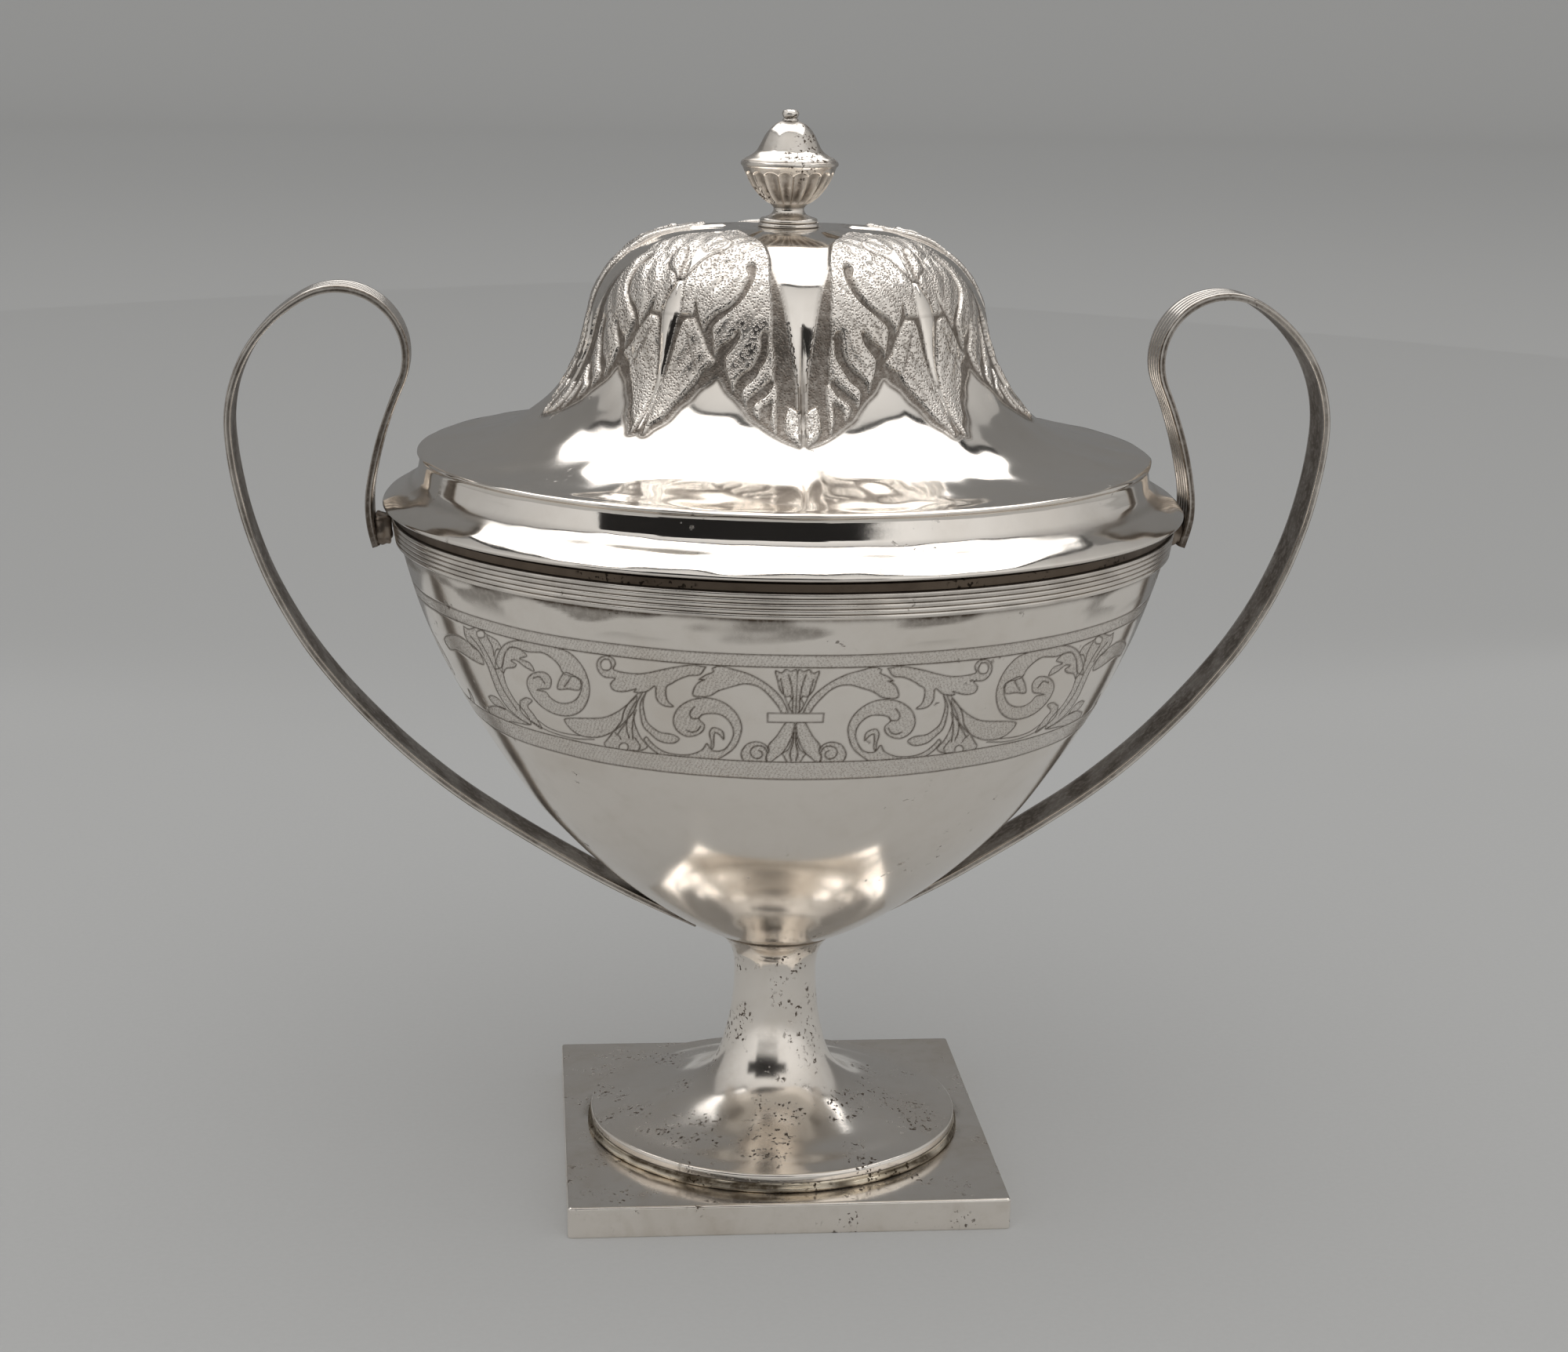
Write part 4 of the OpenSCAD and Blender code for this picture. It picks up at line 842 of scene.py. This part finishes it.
def leaf_field(s, step=0.2):
    """Height, grime and punched texture of half a leaf, on a map from the spear (0) to the lance leaf's midrib (38.5 degrees)."""
    th = np.arange(0, HALF_LEAF + step, step)
    R = resample(DOME_LINE, s)[:, 0]
    TH, S = np.meshgrid(th, s, indexing="ij")
    k = math.pi / 180
    X = TH * k * R[None, :]
    ss = np.linspace(0, length(DOME_LINE), 400)
    RR = resample(DOME_LINE, ss)[:, 0]

    def to_map(pts):
        p = np.array(pts, float)
        return np.stack([p[:, 0] * k * np.interp(p[:, 1], ss, RR), p[:, 1]], 1)

    def shape(pts, mirrored=False):
        p = [(2 * HALF_LEAF - a, b) for a, b in pts] if mirrored else pts
        q = to_map(p)
        return crom(np.vstack([q, q[:1]]), 0.4)

    sp = LEAVES["spear"]
    mantle = [(0.5, 23.5)] + sp[::-1] + LEAVES["arch"][1:6] + [(44, 70.4), (60, 68), (60, 23)] + [(43, 25.4)] + LEAVES["mantle"][::-1]
    DM = signed(X, S, crom(to_map(mantle), 0.4), 3.0)
    W = np.interp(s, [q[1] for q in sp[::-1]], [q[0] for q in sp[::-1]]) * k * R      # the spear's half width, millimetres
    W = np.where(s < 25.9, 0.45, W)[None, :]
    in_spear = (X < W) & (S < 57.5)
    H = 0.28 * smooth(-0.1, 0.6, DM)
    ground = smooth(0.0, 0.5, DM) * (1 - smooth(57.5, 60.5, S + 0 * X))
    H = H - 0.22 * ground + 0.16 * bell(DM - 0.45, 0.32) * (S > 56)
    lobes = np.full(X.shape, -3.0)
    for name in ("leaf", "bottom", "blade"):
        lobes = np.maximum(lobes, signed(X, S, shape(LEAVES[name]), 3.0))
    lobes = np.maximum(lobes, signed(X, S, shape(LEAVES["blade"], True), 3.0))
    lobes = np.maximum(lobes, np.minimum(DM - 0.3, S - 57.0))
    lobes = np.maximum(lobes, np.minimum(S - 52.6, (TH - 26.0) * k * R[None, :]))
    lobes = np.maximum(lobes, np.minimum(S - 46.2, (TH - 31.2) * k * R[None, :]))
    d = np.maximum(lobes, 0)
    fold = np.sin(2 * math.pi * (X * 0.80 + S * 0.60) / 2.9 + 0.8 * np.sin(S * 0.5)) * 0.075 * smooth(0.5, 1.6, d)
    H = np.where(lobes > 0, H + (0.62 - 0.30 * smooth(60, 68, S)) * (0.72 * (1 - np.exp(-d / 0.16)) + 0.28 * (1 - np.exp(-d / 0.9))) + fold, H)
    rib = [(HALF_LEAF - w, b) for b, w in ((52.3, 0.9), (50.6, 1.9), (48.2, 2.9), (46.4, 2.95), (44, 2.5), (40, 1.7), (36, 1.0), (32, 0.5), (28, 0.3), (24.6, 0.1))]
    rib = rib + [(2 * HALF_LEAF - a, b) for a, b in rib[::-1]]
    DR = signed(X, S, crom(np.vstack([to_map(rib), to_map(rib[:1])]), 0.4), 3.0)
    dr = np.maximum(DR, 0)
    H = np.where(DR > -0.25, np.maximum(0.10 + 0.72 * (1 - np.exp(-dr / 0.45)), 0.42 * smooth(-0.25, 0.0, DR)), H)
    # the spear: polished, flush with the dome at the top, two facets with a valley between them lower down
    g = 1 - smooth(41.0, 52.0, S)
    hs = 0.66 * g * (np.minimum(X / np.maximum(W, 0.3), 1.0)) ** 0.8
    fade = smooth(23.4, 26.5, S)
    H = np.where(in_spear & (S > 23.4), hs * fade + H * (1 - fade), H)
    # bud or small leaf under the arch, one version each
    vers = []
    crease = line_distance(X, S, to_map(LEAVES["crease"]), False, 2.0)
    H = H - 0.22 * bell(crease, 0.28) * (lobes > 0)
    for bud in (True, False):
        h = H.copy()
        if bud:
            o = signed(X, S, shape(LEAVES["budo"]), 3.0)
            inn = signed(X, S, shape(LEAVES["budi"]), 3.0)
            h = np.where(o > 0, np.maximum(h, 0.25) + 0.45 * (1 - np.exp(-np.maximum(o, 0) / 0.5)), h)
            h = h - 0.30 * smooth(0.0, 0.4, inn)
            extra, rim = inn, np.minimum(np.abs(o), np.abs(inn))
        else:
            mirror = [(2 * HALF_LEAF - a, b) for a, b in LEAVES["small"]]
            o = signed(X, S, shape(mirror), 3.0)
            h = np.where(o > 0, np.maximum(h, 0.15) + 0.5 * (1 - np.exp(-np.maximum(o, 0) / 0.6)), h)
            extra, rim = o, np.abs(o)
        top = smooth(57.0, 60.0, S) * (DM > 0)
        leafy = smooth(0.15, 0.45, lobes)
        stip = np.clip(leafy + 0.8 * smooth(0.1, 0.5, extra) + 0.35 * top + 0.55 * ground, 0, 1)
        polished = np.maximum((in_spear & (S > 23.4)).astype(float), smooth(0.0, 0.2, DR))
        if bud:
            polished = np.maximum(polished, smooth(0.0, 0.2, o) * (1 - smooth(0.0, 0.2, inn)))
        stip = stip * (1 - polished) * smooth(0.0, 0.3, DM)
        tarn = 0.86 * ground * (1 - smooth(-0.12, 0.10, lobes)) * (1 - polished)
        tarn = np.maximum(tarn, 0.90 * bell(np.abs(DM + 0.15), 0.32) * (S < 57))
        tarn = np.maximum(tarn, 0.55 * bell(np.abs(DM), 0.25))
        tarn = np.maximum(tarn, 0.92 * bell(lobes + 0.12, 0.20) * (DM > 0))
        tarn = np.maximum(tarn, 0.60 * bell(crease, 0.2) * (lobes > 0))
        tarn = np.maximum(tarn, 0.85 * bell(X, 0.20) * (S < 45) * (S > 25))
        tarn = np.where(rim < 0.25, np.maximum(tarn, 0.4), tarn)
        tarn = np.where((polished > 0.5) & (X > 0.5), tarn * 0.25, tarn)
        tarn = tarn + 0.10 * leafy * (1 - polished)
        line = bell(rim, 0.17) * (0.0 if bud else 1.0) + (np.maximum(bell(o, 0.17), bell(inn, 0.15)) if bud else 0.0)
        tarn = np.maximum(tarn, 0.85 * line)
        h = h - 0.10 * line
        furrow = smooth(0.55, 1.0, -np.sin(2 * math.pi * (X * 0.80 + S * 0.60) / 2.9 + 0.8 * np.sin(S * 0.5))) * smooth(0.6, 1.6, d)
        tarn = np.maximum(tarn, 0.42 * furrow * (1 - polished))
        vers.append((h, np.clip(tarn, 0, 1), stip))
    return th, vers


def lid():
    n = 1080
    P = resample(DOME_LINE, np.concatenate([np.linspace(0.9, 17.5, 30), np.arange(17.9, 74.2, 0.26), np.linspace(74.8, length(DOME_LINE), 14)]))
    s_of = np.concatenate([np.linspace(0.9, 17.5, 30), np.arange(17.9, 74.2, 0.26), np.linspace(74.8, length(DOME_LINE), 14)])
    th, vers = leaf_field(s_of)
    t = np.arange(n) * 360.0 / n
    rel = np.zeros(n)
    bud = np.zeros(n, bool)
    sp = list(SPEARS) + [SPEARS[0] + 360]
    # each gap between two spears has one lance leaf in its middle and one bud, on the side of the marked spear
    bud_at = (False, True, True, False, True)
    for i in range(5):
        a, b = sp[i], sp[i + 1]
        x = (t - a) % 360
        m = x < (b - a)
        half = (b - a) / 2
        first = m & (x <= half)
        second = m & (x > half)
        rel[first] = x[first] / half * HALF_LEAF
        rel[second] = ((b - a) - x[second]) / half * HALF_LEAF
        bud[first] = bud_at[i]
        bud[second] = not bud_at[i]
    f = rel / (th[1] - th[0])
    i0 = np.clip(np.floor(f).astype(int), 0, len(th) - 2)
    w = f - i0
    N = normals(P)
    rows = []
    # lip, flange and cove, coarser; the lip's lower edge is painted dark as shade over the gap, and a faint darker band
    # runs along the cove
    A = crom(LIP, 0.28)
    for (r, z), (nr, nz) in zip(A, normals(A)):
        pts, _ = ring(r, z, 360)
        e = (waves(pts, 60, 7, 26, 81) * 0.075 + waves(pts, 60, 4, 9, 82) * 0.010) * float(smooth(126.6, 128.2, z))
        rows.append((ring(r + nr * e, z + nz * e, 360)[0], {"tarn": 0.8 * float(1 - smooth(126.4, 126.9, z)) + 0.25 * float(bell(z - 130.6, 0.5)), "stip": 0.0}))
    for j, ((r, z), (nr, nz)) in enumerate(zip(P, N)):
        s = s_of[j]
        fine = 17.0 < s < 74.5
        cols = n if fine else 360
        pts, _ = ring(r, z, cols)
        e = (waves(pts, 60, 7, 26, 81) * 0.11 + waves(pts, 60, 4, 9, 82) * 0.018) * (1.0 * float(smooth(0, 4, s)) * (1 - float(smooth(70, 80, s))))
        if fine:
            pick = lambda q: np.where(bud, vers[0][q][i0, j] * (1 - w) + vers[0][q][i0 + 1, j] * w, vers[1][q][i0, j] * (1 - w) + vers[1][q][i0 + 1, j] * w)
            h = pick(0)
            e = e * (1 - 0.6 * smooth(0.05, 0.3, h)) + h + waves(pts, 40, 2.5, 7, 83) * 0.022 * smooth(0.1, 0.4, h)
            at = {"tarn": pick(1), "stip": pick(2)}
        else:
            at = {"tarn": 0.5 * float(bell(max(r - 5.6, 0), 0.5)), "stip": 0.0}
        rows.append((ring(r + nr * e, z + nz * e, cols)[0], at))
    back = offset(DOME_LINE, 0.7)
    back = resample(back, np.linspace(0.0, length(back), 60))[::-1]
    under = offset(crom(LIP, 0.8), 0.7)[1:-1][::-1]
    for r, z in np.vstack([back[back[:, 0] > 1.3], under[under[:, 1] > 126.8]]):
        rows.append((ring(max(r, 1.3), z, 360)[0], {"tarn": 0.45, "stip": 0.0}))
    return lathe("lid_raised", rows, closed=True, sharp=70)


finish_piece(lid(), "lid_body", "silver", M_LID, "lid")

# ---------------------------------------------------------------- finial
BORE = 1.3
P = np.vstack([[(BORE, 176.32)], crom([(5.1, 176.32), (5.42, 176.4), (5.5, 176.65), (5.4, 176.95), (5.05, 177.08), (5.15, 177.2), (5.2, 177.45), (5.0, 177.8), (4.3, 178.02),
                                      (3.2, 178.5), (2.75, 179.2), (2.75, 179.68)], 0.08), [(BORE, 179.7)]])
g = 0.8 * bell(P[:, 1] - 177.06, 0.10) + 0.7 * bell(P[:, 1] - 176.33, 0.12) + 0.4 * bell(P[:, 1] - 178.4, 0.4)
rows = turned(P, 180, None, {"tarn": g})
finish_piece(lathe("finial_base_ring", rows, sharp=60), "lid_body", "silver", M_FINIAL, "finial_base")

CUP = [(2.8, 179.72), (3.1, 180.1), (4.2, 180.8), (5.2, 181.6), (6.0, 182.5), (6.7, 183.4), (7.3, 184.4), (7.9, 185.6), (8.25, 186.5), (8.45, 186.9), (8.68, 187.15), (8.72, 187.5), (8.5, 187.88)]
P = crom(CUP, 0.10)
sl = np.concatenate([[0], np.cumsum(np.hypot(*np.diff(P, axis=0).T))])
FL = 18
rows = [ring(BORE, 179.7, FL * 24, {"tarn": 0.3})]
for (r, z), (nr, nz), s in zip(P, normals(P), sl):
    pts, _ = ring(r, z, FL * 24)
    t = np.arange(FL * 24) / 24.0
    c = np.abs((t % 1.0) - 0.5) * 2                      # 0 in the middle of a flute, 1 on the rib
    end = 8.15 - 0.55 * c ** 2                           # round tops
    on = smooth(0.7, 1.6, s) * (1 - smooth(end, end + 0.45, s))
    depth = 0.62 * np.sqrt(np.maximum(1 - c ** 1.8, 0)) * on * min(1.0, r / 5.0)
    ribs = 0.05 * on * c
    rows.append((ring(r - nr * depth + nr * ribs, z - nz * depth + nz * ribs, FL * 24)[0],
                 {"tarn": np.clip(0.10 + 0.85 * (depth / 0.62) ** 1.5 * (1 - 0.25 * smooth(4, 8, s)) + 0.45 * float(bell(s, 0.9)), 0, 1)}))
rows.append(ring(BORE, 187.88, FL * 24, {"tarn": 0.3}))
finish_piece(lathe("finial_fluted_cup", rows, sharp=60), "lid_body", "silver", M_FINIAL, "finial_cup")

CAP = [(8.35, 187.92), (8.2, 188.05), (7.9, 188.3), (6.9, 188.8), (5.9, 189.6), (5.3, 190.6), (4.8, 191.6), (4.35, 192.5), (3.7, 193.4), (2.8, 194.2), (1.75, 194.75)]
P = crom(CAP, 0.12)
rows = [ring(BORE, 187.92, 180, {"tarn": 0.3})] + turned(P, 180, lambda p, j: waves(p, 30, 2.5, 8, 91) * 0.035, {"tarn": 0.6 * bell(P[:, 1] - 187.95, 0.25) + 0.6 * bell(P[:, 1] - 194.7, 0.35) + 0.12})
rows.append(ring(BORE, 194.8, 180, {"tarn": 0.3}))
finish_piece(lathe("finial_domed_cap", rows, sharp=60), "lid_body", "silver", M_FINIAL, "finial_cap")

ROD = [(1.25, 171.42), (1.25, 176), (1.25, 182), (1.25, 188), (1.25, 194.85), (1.44, 194.92), (1.35, 195.15), (1.18, 195.35), (1.35, 195.6), (1.5, 196.1), (1.32, 196.55), (0.85, 196.8), (0.3, 196.88)]
P = np.vstack([[(0.4, 171.42)], ROD[:4], crom(ROD[4:], 0.08)])
rows = turned(P, 96, None, {"tarn": 0.6 * bell(P[:, 1] - 195.3, 0.2)})
finish_piece(lathe("finial_pin", rows, closed=False, poles=True, sharp=60), "lid_body", "silver", M_FINIAL, "finial_rod")

# parts that stay as the frame has them: the bezel painted near-black as the shade in the gap under the lid, the finial
# washer and nut in dark grimy silver
M_BEZEL_SHADE = silver("silver_bezel_shade", bright=(0.16, 0.125, 0.095), warm=(0.07, 0.05, 0.038), dark=(0.03, 0.022, 0.016), rough=0.34, clouds=0.8, pits=0.6, pit_scale=500.0, seed=8.1)
for name, mat in (("lid_bezel", M_BEZEL_SHADE), ("finial_washer", M_GRIME_AND_SHADE), ("finial_nut", M_GRIME_AND_SHADE)):
    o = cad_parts[name]
    o.data.materials.clear()
    o.data.materials.append(mat)

# ---------------------------------------------------------------- floor, light, camera
def stage_material(name, colour, front_light=1.0):
    m = bpy.data.materials.new(name)
    m.use_nodes = True
    t = m.node_tree
    b = t.nodes["Principled BSDF"]
    n = t.nodes.new("ShaderNodeTexNoise")
    n.inputs["Scale"].default_value = 900.0
    n.inputs["Detail"].default_value = 4.0
    tc = t.nodes.new("ShaderNodeTexCoord")
    t.links.new(tc.outputs["Object"], n.inputs["Vector"])
    r = t.nodes.new("ShaderNodeMapRange")
    r.inputs["To Min"].default_value = 0.97
    r.inputs["To Max"].default_value = 1.03
    t.links.new(n.outputs["Fac"], r.inputs["Value"])
    v = t.nodes.new("ShaderNodeVectorMath")
    v.operation = "SCALE"
    v.inputs[0].default_value = colour
    xyz = t.nodes.new("ShaderNodeSeparateXYZ")
    t.links.new(tc.outputs["Object"], xyz.inputs[0])
    # painted light: the colour is scaled up towards the front, to the given factor at y -1 m, falling to 1 at y 3.2 m
    g = t.nodes.new("ShaderNodeMapRange")
    g.interpolation_type = "SMOOTHSTEP"
    g.inputs["From Min"].default_value = -1.0
    g.inputs["From Max"].default_value = 3.2
    g.inputs["To Min"].default_value = front_light
    g.inputs["To Max"].default_value = 1.0
    t.links.new(xyz.outputs["Y"], g.inputs["Value"])
    w = t.nodes.new("ShaderNodeMath")
    w.operation = "MULTIPLY"
    t.links.new(r.outputs["Result"], w.inputs[0])
    t.links.new(g.outputs["Result"], w.inputs[1])
    t.links.new(w.outputs[0], v.inputs["Scale"])
    t.links.new(v.outputs["Vector"], b.inputs["Base Color"])
    b.inputs["Roughness"].default_value = 0.9
    b.inputs["Specular IOR Level"].default_value = 0.1
    return m


def sheet(name, xs, profile, colour, front_light):
    """A swept sheet: profile is [y, z] in metres, xs the two ends."""
    co, quads = [], []
    for y, z in profile:
        co += [(xs[0] * 1000, y * 1000, z * 1000), (xs[1] * 1000, y * 1000, z * 1000)]
    m = len(profile)
    quads = np.array([(2 * i, 2 * i + 1, 2 * i + 3, 2 * i + 2) for i in range(m - 1)])
    ob = make(name, np.array(co), [quads], [np.zeros((m - 1, 8))])
    ob.data.materials.append(stage_material(name + "_paper", colour, front_light))
    return ob


prof = [(-4.0, 0.0), (-1.0, 0.0), (0.6, 0.0), (3.0, 0.0), (4.0, 0.0)]
for a in np.linspace(0, math.pi / 2, 14)[1:]:
    prof.append((4.0 + 1.2 * math.sin(a), 1.2 - 1.2 * math.cos(a)))
sheet("floor_sweep", (-5.0, 5.0), prof, FLOOR_COLOUR, PAINTED_FRONT_LIGHT)


def card(name, radius, az0, az1, z0, z1, colour):
    """A dark studio card in front, seen only in reflections."""
    az = np.radians(np.linspace(az0, az1, 25))
    co = np.concatenate([np.stack([radius * np.sin(az), -radius * np.cos(az), 0 * az + z], 1) for z in (z0, z1)]) * 1000
    n = len(az)
    i = np.arange(n - 1)
    ob = make(name, co, [np.stack([i, i + 1, n + i + 1, n + i], 1)], [np.zeros((n - 1, 8))])
    m = stage_material(name + "_cloth", colour)
    ob.data.materials.append(m)
    ob.visible_camera = False
    ob.visible_diffuse = False
    ob.visible_shadow = False
    return ob


card("dark_card", 0.53, -60, 22, 0.14, 0.31, (0.02, 0.019, 0.019))
card("grey_card", 0.36, 125, 235, 0.0, 0.40, (0.28, 0.28, 0.28))
card("tall_card", 0.54, -42, 8, 0.08, 0.44, (0.03, 0.029, 0.029))


def strip(name, x0, x1, y0, y1, z):
    """A dark batten along one edge of the softbox, seen only in reflections."""
    co = np.array([(x0, y0, z), (x1, y0, z), (x1, y1, z), (x0, y1, z)]) * 1000
    ob = make(name, co, [np.array([[0, 1, 2, 3]])], [np.zeros((1, 8))])
    ob.data.materials.append(stage_material(name + "_cloth", (0.02, 0.02, 0.02)))
    ob.visible_camera = False
    ob.visible_diffuse = False
    ob.visible_shadow = False
    return ob


strip("batten_front", -0.95, 0.95, -0.33, -0.24, 1.19)
strip("batten_left", -0.95, -0.84, -0.24, 2.12, 1.19)
strip("batten_right", 0.84, 0.95, -0.24, 2.12, 1.19)


def area(name, loc, aim, size, power, colour=(1, 1, 1)):
    l = bpy.data.lights.new(name, "AREA")
    l.shape = "RECTANGLE"
    l.size, l.size_y = size
    l.energy = power
    l.color = colour
    o = bpy.data.objects.new(name, l)
    o.location = loc
    d = Vector(aim) - Vector(loc)
    o.rotation_euler = d.to_track_quat("-Z", "Y").to_euler()
    bpy.context.scene.collection.objects.link(o)
    return o


top = area("softbox_top", (0.0, 0.93, 1.2), (0.0, 0.93, 0.0), (1.7, 2.36), KEY)
top.visible_diffuse = False
for word, power in (("room_glow", ROOM), ("room_fill", FILL)):
    room = area(word, (0.0, -0.6, 2.8), (0.0, -0.6, 0.0), (6.0, 6.0), power)
    room.visible_glossy = False
    room.data.use_shadow = word == "room_glow"

world = bpy.data.worlds.new("studio")
bpy.context.scene.world = world
world.use_nodes = True
wt = world.node_tree
bg = wt.nodes["Background"]
wc = wt.nodes.new("ShaderNodeTexCoord")
sx = wt.nodes.new("ShaderNodeSeparateXYZ")
wt.links.new(wc.outputs["Generated"], sx.inputs[0])
wr = wt.nodes.new("ShaderNodeMapRange")
wr.inputs["From Min"].default_value = -1.0
wr.inputs["From Max"].default_value = 1.0
wr.inputs["To Min"].default_value = WORLD[0]
wr.inputs["To Max"].default_value = WORLD[1]
wt.links.new(sx.outputs["Y"], wr.inputs["Value"])
wt.links.new(wr.outputs["Result"], bg.inputs["Strength"])
bg.inputs["Color"].default_value = (1.0, 0.995, 0.985, 1.0)

cam = bpy.data.cameras.new("camera")
cam.lens = 63.6
cam.sensor_width = 36.0
cam.sensor_fit = "HORIZONTAL"
cam.clip_start = 0.01
cam.clip_end = 50.0
co = bpy.data.objects.new("camera", cam)
bpy.context.scene.collection.objects.link(co)
f = Vector((0.09250, 0.96680, -0.23820)).normalized()
r0 = Vector((0.99545, -0.09524, 0.0)).normalized()
u0 = r0.cross(f)
roll = math.radians(1.087)
X = math.cos(roll) * r0 + math.sin(roll) * u0
Y = -math.sin(roll) * r0 + math.cos(roll) * u0
M = Matrix.Identity(4)
for i in range(3):
    M[i][0], M[i][1], M[i][2] = X[i], Y[i], -f[i]
M.translation = Vector((-0.04691, -0.49787, 0.21624))
co.matrix_world = M
bpy.context.scene.camera = co
bpy.context.scene.view_settings.view_transform = "Standard"
